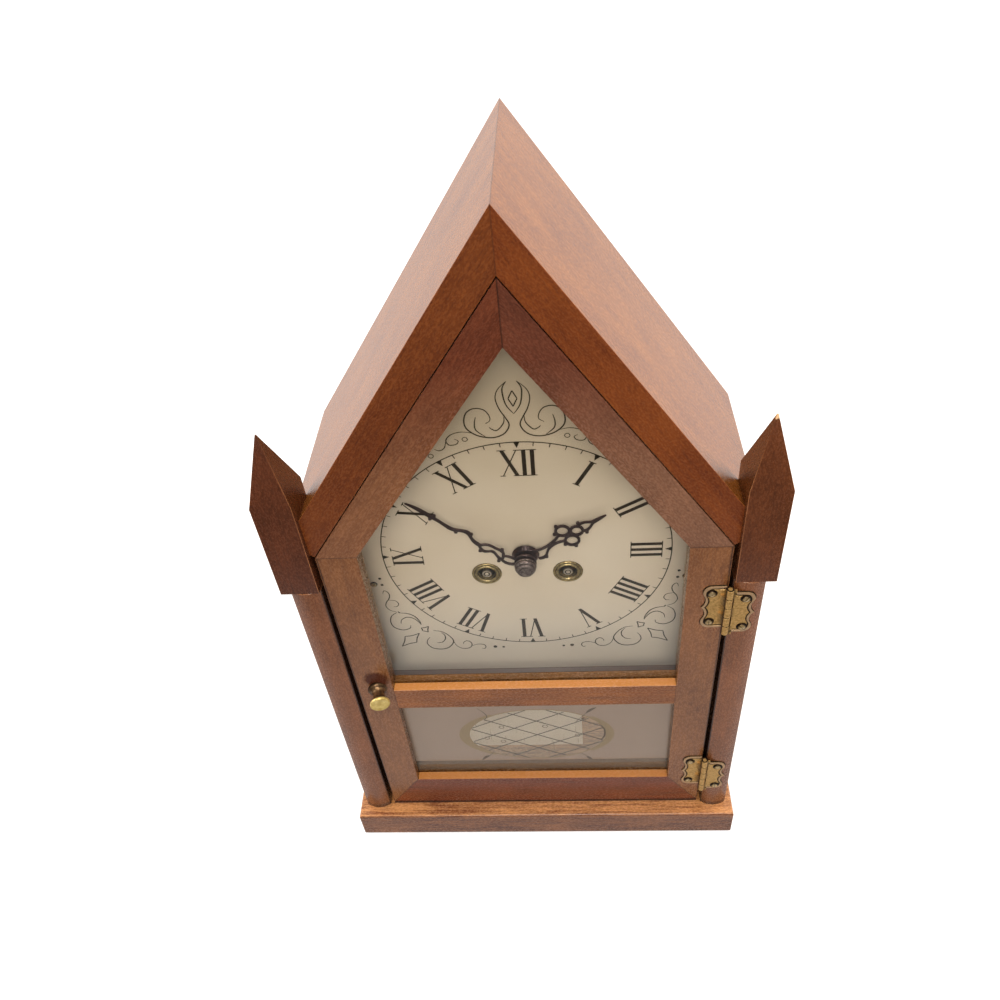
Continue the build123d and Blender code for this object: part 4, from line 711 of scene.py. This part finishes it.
arbor_steel = worked_metal("bronzed arbor steel", "#a5938c", "#5c4a48", 1.5, 0.3, 0.6)
rubbed_steel = worked_metal("arbor end, rubbed", "#dccab8", "#b09c8e", 2.0, 0.3, 0.6)
for side, node in ((1, "time_winding_arbor"), (-1, "strike_winding_arbor")):
    finish_node(node, arbor_steel)
    end = bmesh.new()
    lathe(end, (side * winding_x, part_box(node)[0][1], winding_z), [
        (0, 0.5), (2.9, 0.5, 1), (3.0, -1.8, 0.7), (2.8, -2.2, 0.2), (2.2, -2.35), (1.75, -2.2, 1), (1.4, -2.2, 1),
        (1.15, -2.45), (0, -2.55)], 32)
    shade(end, 40)
    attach(show(f"{node}_end", end, rubbed_steel), frame["nodes"][node]["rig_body"])

# The hands: two pierced serpentine hands and their domed nut, sawn and turned from steel and
# blackened by heat, smooth and a little oily, and uneven in colour where they were handled.
hand_steel, tree, place = new_material("blackened steel")
heat = noise(tree, place, 1 / (9 * mm), 3.0)
surface(hand_steel, {"Base Color": mixed(tree, heat, "#35292a", "#68575a"), "Metallic": 0.7,
                     "Roughness": span(tree, heat, 0.0, 1.0, 0.28, 0.42)})
for node in ("minute_hand", "hour_hand"):
    dress(node, hand_steel, 0.18)
# The nut's grooves and foot are darkened, soiling and painted shade.
nut = bmesh.new()
lathe(nut, (centre_x, nut_high[1], centre_z), [
    (2.6, 0.0), (4.6, 0.0, 1), (4.5, -1.0, 1), (5.4, -1.3, 0.6), (6.2, -1.7), (6.5, -2.3), (6.4, -2.9),
    (5.9, -3.2, 1), (5.95, -3.4, 1), (6.2, -3.7), (6.15, -4.4), (5.6, -5.1), (5.2, -5.3, 1), (5.2, -5.45, 1),
    (5.3, -5.7), (4.9, -6.4), (3.9, -7.0), (3.5, -7.05, 1), (3.4, -7.2), (2.4, -7.6), (0, -7.8)], 48)
shade(nut, 24)
nut_steel = worked_metal("blackened nut steel", "#94827e", "#5a4c4e", 1.4, 0.3, 0.7)
ride_in_place(show("turned_hand_nut", nut, nut_steel), "hand_nut")

# The door: two stiles, two slanted top rails and a bottom rail of maple, mitred at the apex and at
# the foot and butted at the shoulders, with a bar between the panes. Beads behind hold both panes.
stile_low, stile_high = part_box("door_stile_left")
shoulder = ((0.0, 0.0, 1.0), stile_high[2])
foot_low, foot_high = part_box("door_bottom_rail")
outer_x, inner_x = foot_high[0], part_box("door_mullion")[1][0]
run, rise = outer_x - inner_x, foot_high[2] - foot_low[2]
length = hypot(run, rise)
mitres = {}
for side in (-1, 1):
    normal = (side * rise / length, 0.0, run / length)
    mitres[side] = (normal, normal[0] * side * outer_x + normal[2] * foot_low[2])
bar_ends = [((1.0, 0.0, 0.0), side * inner_x) for side in (-1, 1)]
door_face, rail_top = stile_low[1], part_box("door_top_rail_left")[1][2]
slope_up = atan2(rail_top - stile_high[2], -stile_low[0])
bevel_back = 0.75 * mm


def closer(co):
    """How far a corner moves: in front the door's gabled edge stands out further than at its rear,
    so that the door closes with a finer gap there and still clears the roof as it swings."""
    on_edge = abs(abs(co.x) * tan(slope_up) + co.z - rail_top) < 0.1 * mm
    if not on_edge or co.y > door_face + 0.1 * mm:
        return 0.0, 0.0, 0.0
    if co.z > rail_top - 1 * mm:
        return 0.0, 0.0, bevel_back / cos(slope_up)
    return (1 if co.x > 0 else -1) * bevel_back / sin(slope_up), 0.0, 0.0


for side, name, lean, pale, deep in ((-1, "left", slope, "#8d5c3a", "#5f3822"),
                                    (1, "right", pi - slope, "#8c6046", "#5f3e2d")):
    joints = (shoulder, mitres[side])
    # A dark band along the stile's outer edge, by the column: painted shade in the gap.
    dress(f"door_stile_{name}", stained_maple(
        f"stile {name}", "#8f5c34", "#5c341a", upright, joints,
        shade_bands=(((1.0, 0.0, 0.0), side * outer_x, 0.6 * mm, 0.7),)), 0.3, joints, closer)
    joints = (shoulder, ridge_joint)
    dress(f"door_top_rail_{name}", stained_maple(
        f"top rail {name}", pale, deep, lean, joints,
        darker=(rail_top - 110 * mm, rail_top - 40 * mm, "#cea290")), 0.3, joints, closer)
# The bottom rail and the cross bar are paler on their tops, a painted highlight, and a little deeper on their fronts,
# painted shade.
for node, name, pale, deep, joints, paling, front, easing in (
        ("door_bottom_rail", "bottom rail", "#84431a", "#522509", (mitres[-1], mitres[1]), 0.7, "#f0d8b0", 0.45),
        ("door_mullion", "cross bar", "#955b2a", "#613410", bar_ends, 0.9, "#fff4cc", 0.6)):
    dress(node, stained_maple(
        name, pale, deep, 0.0, joints, paling, front=front, streaky=0.8), easing, joints)
finish_node("glass_beads", stained_maple("beads", "#93602f", "#3f2410", streaky=0.8))

# The panes: two sheets of clear drawn glass. They are so thin that they hardly bend what stands
# behind them, so the mirror of each polished face is a coat over a body that lets light through.
glass_tint = linear("#f4f6f2")
clear_pane, tree, place = new_material("drawn window glass")
polished = add(tree, "ShaderNodeBsdfPrincipled", None, {
    "Base Color": glass_tint, "Roughness": 0.0, "IOR": 1.01, "Transmission Weight": 1.0, "Coat Weight": 1.0,
    "Coat Roughness": 0.03, "Coat IOR": 1.42,
    "Coat Normal": raised(tree, noise(tree, place, 1 / (45 * mm), 1.0), 0.08, 0.2)})
ray = add(tree, "ShaderNodeLightPath").outputs
passing = reckon(tree, "MAXIMUM", ray["Is Shadow Ray"], ray["Is Diffuse Ray"])
through = add(tree, "ShaderNodeBsdfTransparent", None, {"Color": glass_tint})
finished(clear_pane, blend_shaders(tree, passing, polished, through))
for node in ("upper_glass", "tablet_glass"):
    finish_node(node, clear_pane)

# The tablet's painting, on the back of the lower pane: warm grey paint round an oval under a worn
# wash, gilt at its rim, small leaf strokes at its corners and a lattice of grey lines.
pane_low, pane_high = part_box("tablet_glass")
paint_y = pane_high[1] + 0.04 * mm
oval_x, oval_z = -0.7 * mm, 103.3 * mm
oval_wide, oval_high = 47.5 * mm, 30.5 * mm
frost_layer, ground_layer, crescent_layer, rim_layer, stroke_layer = 3, 0, -1, -2, -5


def brushed_paint(name, pale, deep, rough, thin=0.0, alpha=1.0):
    """Oil paint brushed on glass in upright strokes. A thin wash lets light through to what stands
    behind it."""
    material, tree, place = new_material(name)
    bristle = noise(tree, stretch(tree, place, 1.2, 1.2, 26), 1.0, 4.0, 0.6)
    paint = add(tree, "ShaderNodeBsdfPrincipled", None, {
        "Base Color": mixed(tree, bristle, deep, pale), "Roughness": rough, "Alpha": alpha})
    share = reckon(tree, "MULTIPLY", add(tree, "ShaderNodeLightPath").outputs["Is Shadow Ray"], thin)
    return finished(material, blend_shaders(tree, share, paint, add(tree, "ShaderNodeBsdfTransparent")))


def paint_patch(shape, corners, layer):
    """A flat painted shape on the pane's back, from corners in metres about the oval's centre."""
    y = paint_y + layer * 0.01 * mm
    face_to_front(shape, [(oval_x + x, y, oval_z + z) for x, z in corners])


def oval(share, wide, high):
    """A place on an oval, a share of the way round."""
    return wide * cos(2 * pi * share), high * sin(2 * pi * share)


def oval_ring(grown=0.0):
    """The clear oval's edge, or one a little outside it, with its first place again at its end."""
    return [oval(i / oval_steps, oval_wide + grown, oval_high + grown) for i in range(oval_steps + 1)]


oval_steps = 96
edge_left, edge_right = pane_low[0] - oval_x, pane_high[0] - oval_x
edge_low, edge_high = pane_low[2] - oval_z, pane_high[2] - oval_z
pane_corners = [(x, z) for x in (edge_left, edge_right) for z in (edge_low, edge_high)]
tiny = 1e-9


def on_pane_edge(x, z):
    """Where a line from the oval's centre meets the pane's edge."""
    limits = (x, edge_right if x > 0 else edge_left), (z, edge_high if z > 0 else edge_low)
    reach = min(limit / part for part, limit in limits if abs(part) > tiny)
    return x * reach, z * reach


ground = bmesh.new()
rim = oval_ring()
for a, b in zip(rim, rim[1:]):
    edge_a, edge_b = on_pane_edge(*a), on_pane_edge(*b)
    corner = [c for c in pane_corners if all(abs(p - q) > 1e-6 and min(p, q) - tiny <= v <= max(p, q) + tiny
                                             for p, q, v in zip(edge_a, edge_b, c))]
    paint_patch(ground, [a, edge_a, *corner, edge_b, b], ground_layer)
bmesh.ops.remove_doubles(ground, verts=ground.verts, dist=0.001 * mm)
ground_paint = brushed_paint("warm grey oil paint", "#9d8175", "#917669", 0.6, thin=0.96)
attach(show("tablet_ground", ground, ground_paint), "door")

frost = bmesh.new()
paint_patch(frost, rim[:-1], frost_layer)
frost_paint = brushed_paint("worn grey wash", "#e6c8b4", "#d6b49e", 0.6, thin=1.0, alpha=0.36)
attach(show("tablet_frost", frost, frost_paint), "door")

gilding = bmesh.new()
for middle, wide_out, long_share in ((0.5, 54.5, 0.3), (0.0, 53.0, 0.24)):
    outer, inner = ([oval(middle + (i / 24 - 0.5) * long_share, wide * mm, high * mm) for i in range(25)]
                    for wide, high in ((wide_out, 31.5), (47.2, 30.5)))
    for a, b, c, d in zip(outer, outer[1:], inner[1:], inner):
        paint_patch(gilding, [a, b, c, d], crescent_layer)
outer = oval_ring(0.9 * mm)
for a, b, c, d in zip(outer, outer[1:], rim[1:], rim):
    paint_patch(gilding, [a, b, c, d], rim_layer)
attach(show("tablet_gilding", gilding, brushed_paint("bronze powder paint", "#96774f", "#7a5f3e", 0.45)), "door")

# A dark sheet across the foot of the pane: painted shade.
foot_shade = bmesh.new()
foot_shade_top = -33.0 * mm
paint_patch(foot_shade, [(edge_left, foot_shade_top), (edge_right, foot_shade_top), (edge_right, edge_low),
                     (edge_left, edge_low)], crescent_layer)
foot_shade_paint = brushed_paint("painted shade at the pane's foot", "#5c5045", "#4a3f36", 0.6, thin=0.9, alpha=0.66)
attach(show("tablet_foot_shade", foot_shade, foot_shade_paint), "door")


def brush_line(shape, points, wide, ends):
    """A painted stroke through points in millimetres about the dial's middle line and the tablet's."""
    line = [(x + 0.7, z + 1.45) for x, z in smooth_line(points)]
    sides = stroke_sides(line, wide, ends, 1.0)
    for (a, b), (c, d) in zip(sides, sides[1:]):
        paint_patch(shape, [(x * mm, z * mm) for x, z in (b, d, c, a)], stroke_layer)


leaves = bmesh.new()
for points, wide, ends in (
        (((33, 24), (36, 28), (40, 31)), 2.2, 0.1), (((30, 17), (32, 19)), 1.8, 0.4),
        (((26, 14), (33, 24)), 0.5, 0.6),
        (((-36, -28), (-39, -30), (-42, -34)), 2.4, 0.1), (((-33, -24), (-36, -28)), 0.5, 0.6),
        (((33, -30), (35, -33), (38, -37)), 2.2, 0.1), (((29, -26), (33, -30)), 0.5, 0.6),
        (((-40, 32), (-36, 27), (-34, 22), (-36, 18)), 0.7, 0.5),
        (((43, 9), (45.5, 4), (45.5, -4), (43, -9)), 1.2, 0.3)):
    brush_line(leaves, points, wide, ends)
for x, z in ((-25, 8.6), (-25, -9.4), (-36, -5), (5, 9), (27, -3)):
    brush_line(leaves, [(x + u, z + v) for u, v in (oval(i / 12, 1.7, 1.5) for i in range(13))], 0.5, 1.0)
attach(show("tablet_leaves", leaves, brushed_paint("umber leaf paint", "#5a4634", "#3b2c20", 0.6)), "door")

lattice = bmesh.new()
cell_wide, cell_high, half_line = 31.0 * mm, 17.0 * mm, 0.475 * mm
for way in (-1, 1):
    for row in range(-6, 7):
        places = [(x, way * (x * cell_high / cell_wide) + row * cell_high)
                  for x in (step / 60 * oval_wide for step in range(-60, 61))]
        places = [(x, z) for x, z in places if (x / oval_wide) ** 2 + (z / oval_high) ** 2 <= 1.0]
        if len(places) > 1:
            (x0, z0), (x1, z1) = places[0], places[-1]
            paint_patch(lattice, [(x0, z0 - half_line), (x1, z1 - half_line), (x1, z1 + half_line),
                                  (x0, z0 + half_line)], way - 4)
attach(show("tablet_lattice", lattice, brushed_paint("grey lattice paint", "#453a33", "#332a25", 0.6)), "door")

# The knob: brass turned on a lathe and screwed into the left stile, a little out of square. Its
# face is a pale copy of the brass, painted light, and its spool a dark one, painted shade, and a dark
# patch lies on the wood above it.
knob_low, knob_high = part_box("door_knob")
knob_place = Vector(((knob_low[0] + knob_high[0]) / 2, knob_high[1], (knob_low[2] + knob_high[2]) / 2 - 1.6 * mm))
knob_lean = Matrix.Translation(knob_place) @ Matrix.Rotation(radians(15), 4, "Z") @ Matrix.Translation(-knob_place)


def turned_brass(name, profile, metal):
    """A turned part of the knob, set in the knob's place and lean."""
    shape = bmesh.new()
    lathe(shape, knob_place, profile, 48)
    bmesh.ops.transform(shape, matrix=knob_lean, verts=shape.verts)
    for vert in shape.verts:
        vert.co.y = min(vert.co.y, knob_place.y)
    shade(shape, 40)
    piece = show(name, shape, metal)
    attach(piece, "door")
    return piece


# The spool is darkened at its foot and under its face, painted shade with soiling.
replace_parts(turned_brass("knob_spool", [
    (0, 0.0), (6.2, 0.0, 1), (6.25, -1.2, 0.7), (5.9, -1.8, 0.3), (5.0, -2.3, 0.6), (4.2, -3.2), (3.8, -4.4),
    (3.75, -5.6), (3.9, -7.0), (4.3, -8.4), (4.9, -9.6, 0.5), (5.5, -10.4, 0.9), (5.8, -10.9, 0.9), (0, -10.9)],
    worked_metal("knob spool brass, painted shade", "#9c7a55", "#523722", 1.8, 0.22, 0.7)), "door_knob")
turned_brass("knob_face", [
    (0, -10.8), (5.8, -10.8, 0.8), (6.25, -11.3, 0.3), (6.4, -12.0), (6.3, -12.7), (5.9, -13.15), (5.3, -13.25),
    (4.7, -12.95), (0, -13.0)], worked_metal("knob face brass, painted light", "#f2d98e", "#cdae60", 2.5, 0.3, 0.6))

# A dark patch on the stile above the knob, ragged at its edge.
dark_patch_place = knob_place + Vector((0.6, -0.05, 9.0)) * mm
dark_patch, tree, place = new_material("dark patch above the knob")
centred = add(tree, "ShaderNodeVectorMath", {"operation": "SUBTRACT"}, {0: place, 1: dark_patch_place})
reach_out = add(tree, "ShaderNodeVectorMath", {"operation": "LENGTH"}, {0: centred.outputs[0]})
ragged = reckon(tree, "MULTIPLY_ADD", noise(tree, place, 1 / (1.5 * mm), 3.0), 2.4 * mm, reach_out.outputs["Value"])
surface(dark_patch, {"Base Color": linear("#4e1f0e"), "Roughness": 0.5,
                 "Alpha": span(tree, ragged, 6.6 * mm, 9.8 * mm, 0.74, 0.0)})
patch_sheet = bmesh.new()
patch_sheet.faces.new([patch_sheet.verts.new((x, dark_patch_place.y, z))
                   for x, z in circle(9.0 * mm, 32, dark_patch_place.x, dark_patch_place.z)])
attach(show("knob_dark_patch", patch_sheet, dark_patch), "door")

# The hinges: butterfly leaves stamped from sheet brass, with a line pressed round them inside the
# edge, rolled knuckles on a steel pin, and domed screws. Satin with age, and darkened by soiling and
# painted shade in the low places, round the leaves and screw heads and on the knuckles' flanks.
hinge_brass = worked_metal("stamped hinge brass", "#d9b071", "#a98247", 1.3, 0.4, 0.6)
pins_low, pins_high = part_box("hinge_pins")
pin_x, pin_y = (pins_low[0] + pins_high[0]) / 2, (pins_low[1] + pins_high[1]) / 2
knuckle_long, knuckle_radius, knuckle_gap, leaf_thick = 39 * mm, 2.15 * mm, 0.25 * mm, 0.9 * mm
hinge_middles = (pins_low[2] + knuckle_long / 2, pins_high[2] - knuckle_long / 2)
lobe_shares = ((0.67, 1.0), (0.92, 0.86), (0.93, 0.56))
hollow_shares = ((0.93, 0.56), (0.85, 0.28), (1.0, 0.0))
finish_node("hinge_pins", hinge_brass)


def arc(a, b, c, steps):
    """Places on the circle through three places, from the first up to the last, without it."""
    (ax, az), (bx, bz), (cx, cz) = a, b, c
    d = 2 * (ax * (bz - cz) + bx * (cz - az) + cx * (az - bz))
    far_a, far_b, far_c = (x * x + z * z for x, z in (a, b, c))
    ux = (far_a * (bz - cz) + far_b * (cz - az) + far_c * (az - bz)) / d
    uz = (far_a * (cx - bx) + far_b * (ax - cx) + far_c * (bx - ax)) / d
    radius = hypot(ax - ux, az - uz)
    start, through, end = (atan2(z - uz, x - ux) for x, z in (a, b, c))
    turn = (end - start) % (2 * pi)
    if (through - start) % (2 * pi) > turn:
        turn -= 2 * pi
    return [(ux + radius * cos(start + turn * i / steps), uz + radius * sin(start + turn * i / steps))
            for i in range(steps)]


def pressed_leaf(shape, side, middle_z, seat_y, inner, reach, half_high):
    """A butterfly wing of sheet brass, with a line pressed in round it a little inside its edge. The wood along its
    edge and the pressed line are darkened by soiling and painted shade, and its raised rim is paler with wear.
    """
    grime_and_shade, worn = shape.verts.layers.float["grime_and_shade"], shape.verts.layers.float["worn"]
    half = []
    for shares in (lobe_shares, hollow_shares):
        half += arc(*((wide * reach, rise * half_high) for wide, rise in shares), 9)
    outline = [(inner, half_high), *half, (reach, 0.0), *[(x, -z) for x, z in reversed(half)], (inner, -half_high)]
    rings = []
    for inset, lift, soil_and_shade, paling in ((-0.5, 0, 1, 0), (-0.45, 0.05, 1, 0), (0, 0.1, 1, 0), (0, 0.7, 0.6, 0.3),
                                       (0.3, 0.9, 0, 0.9), (1.5, 0.9, 0, 0.7), (1.8, 0.6, 1, 0), (2.5, 0.6, 1, 0),
                                       (2.8, 0.88, 0, 0)):
        ring = []
        for x, z in outline:
            share = (x - inner) / (reach - inner)
            ring.append(shape.verts.new((
                pin_x + side * (x - inset * mm * share + 0.01 * mm * len(rings)), seat_y - lift * mm,
                middle_z + z * (1 - inset * mm / half_high))))
            ring[-1][grime_and_shade], ring[-1][worn] = soil_and_shade, paling
        rings.append(ring)
    for low, high in zip(rings, rings[1:]):
        for i in range(len(outline)):
            shape.faces.new([low[i - 1], low[i], high[i], high[i - 1]])
    shape.faces.new(rings[0])
    shape.faces.new(rings[-1])


def knuckle(shape, low, high, neck):
    """One rolled knuckle with eased ends, and the neck that joins it to its leaf. Its ends, its flanks and the neck
    by the pin are darkened by soiling and painted shade.
    """
    grime_and_shade = shape.verts.layers.float["grime_and_shade"]
    rings = []
    for z, wide, dirt_and_shade in ((low, 0.86, 1), (low + 0.4 * mm, 1.0, 0), (high - 0.4 * mm, 1.0, 0), (high, 0.86, 1)):
        rings.append([shape.verts.new((x, y, z)) for x, y in circle(knuckle_radius * wide, 28, pin_x, pin_y)])
        for vert, (across, _) in zip(rings[-1], circle(1.0, 28)):
            vert[grime_and_shade] = max(dirt_and_shade, 0.9 if abs(across) > 0.88 else 0.0)
    for a, b in zip(rings, rings[1:]):
        for i in range(28):
            shape.faces.new([a[i], a[(i + 1) % 28], b[(i + 1) % 28], b[i]])
    ends = [[shape.verts.new((x, y, z)) for x, y in neck] for z in (low, high)]
    for vert in ends[0] + ends[1]:
        vert[grime_and_shade] = 0.9 if abs(vert.co.x - pin_x) < 2.2 * mm else 0.0
    for ring in (rings[0], rings[-1], *ends):
        shape.faces.new(ring)
    for i in range(len(neck)):
        shape.faces.new([ends[0][i], ends[0][i - 1], ends[1][i - 1], ends[1][i]])


def screw_places(node):
    """The middle of the front of each screw in a node, and half its width."""
    solid = welded(node)
    left, places = set(solid.verts), []
    while left:
        part, edge = set(), [left.pop()]
        while edge:
            vert = edge.pop()
            part.add(vert)
            near = {link.other_vert(vert) for link in vert.link_edges} & left
            left -= near
            edge += near
        low, high = ([pick(v.co[axis] for v in part) for axis in range(3)] for pick in (min, max))
        places.append(((low[0] + high[0]) / 2, low[1], (low[2] + high[2]) / 2, (high[0] - low[0]) / 2))
    solid.free()
    return sorted(places)


crown_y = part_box("column_right")[0][1]
for node, screws, side, seat_y, first, inner, reach, half_high in (
        ("door_hinge_leaves", "door_hinge_screws", -1, door_face, 1, 1.2 * mm, 14.1 * mm, 18.0 * mm),
        ("case_hinge_leaves", "small_brass_screws", 1, crown_y, 0, 2.5 * mm, 14.6 * mm, 17.2 * mm)):
    stamped = bmesh.new()
    for layer in ("grime_and_shade", "worn"):
        stamped.verts.layers.float.new(layer)
    top_y = seat_y - leaf_thick
    far, near = pin_x + side * (4.6 if side < 0 else 3.6) * mm, pin_x + 1.7 * mm
    if side < 0:
        neck = ((far, seat_y), (far, top_y), (pin_x - 2.0 * mm, pin_y), (pin_x, pin_y + 2.0 * mm),
                (pin_x - inner, seat_y))
    else:
        neck = ((far, seat_y), (far, top_y), (near, top_y), (near, seat_y))
    for x, _, z, radius in screw_places(screws):
        if abs(x - pin_x) < reach + mm:
            # A dark disc on the leaf, wider than the screw head: painted shade round the head.
            shade_ring_radius = radius / mm + 0.7
            lathe(stamped, (x, top_y, z), [(shade_ring_radius, 0.2), (shade_ring_radius, -0.04, 1), (0, -0.04, 1)], 28)
    pitch = knuckle_long / 5
    for middle_z in hinge_middles:
        pressed_leaf(stamped, side, middle_z, seat_y, inner, reach, half_high)
        for i in range(first, 5, 2):
            low = middle_z - knuckle_long / 2 + i * pitch + knuckle_gap / 2
            knuckle(stamped, low, low + pitch - knuckle_gap, neck)
    bmesh.ops.recalc_face_normals(stamped, faces=stamped.faces)
    shade(stamped, 32)
    ride_in_place(show(f"{node}_pressed", stamped, hinge_brass), node)

screw_brass = worked_metal("domed brass screws", "#f6deb2", "#c09d66", 1.2, 0.25, 0.8)
head_radius = 2.5
for node in ("door_hinge_screws", "small_brass_screws"):
    heads = bmesh.new()
    for number, (x, y, z, radius) in enumerate(screw_places(node)):
        head = bmesh.new()
        # The dome is darkened on its flanks and in its slot: soiling and painted shade.
        lathe(head, (0, 0, 0), [
            (0, 0.8), (head_radius, 0.8, 1), (head_radius, 0.0, 1), (2.42, -0.35, 1), (2.2, -0.7, 1),
            (1.8, -1.0, 0.35), (1.2, -1.2), (0.6, -1.3), (0, -1.32)], 28)
        grime_and_shade = head.verts.layers.float["grime_and_shade"]
        for off in (-0.22, -0.18, 0.18, 0.22):
            bmesh.ops.bisect_plane(head, geom=[*head.verts, *head.edges, *head.faces],
                                   plane_co=(off * mm, 0, 0), plane_no=(1, 0, 0), dist=1e-7)
        for vert in head.verts:
            if abs(vert.co.x) < 0.2 * mm and vert.co.y < -0.9 * mm:
                vert.co.y = -0.9 * mm
                vert[grime_and_shade] = 0.8
        scale = radius / (head_radius * mm)
        turn = Matrix.Rotation(radians(37 + 71 * number), 4, "Y")
        seat = Matrix.Translation((x, y + 1.1 * mm * scale, z))
        bmesh.ops.transform(head, verts=head.verts, matrix=seat @ turn @ Matrix.Scale(scale, 4))
        mesh = bpy.data.meshes.new("head")
        head.to_mesh(mesh)
        head.free()
        heads.from_mesh(mesh)
        bpy.data.meshes.remove(mesh)
    shade(heads, 34)
    ride_in_place(show(f"{node}_domed", heads, screw_brass), node)
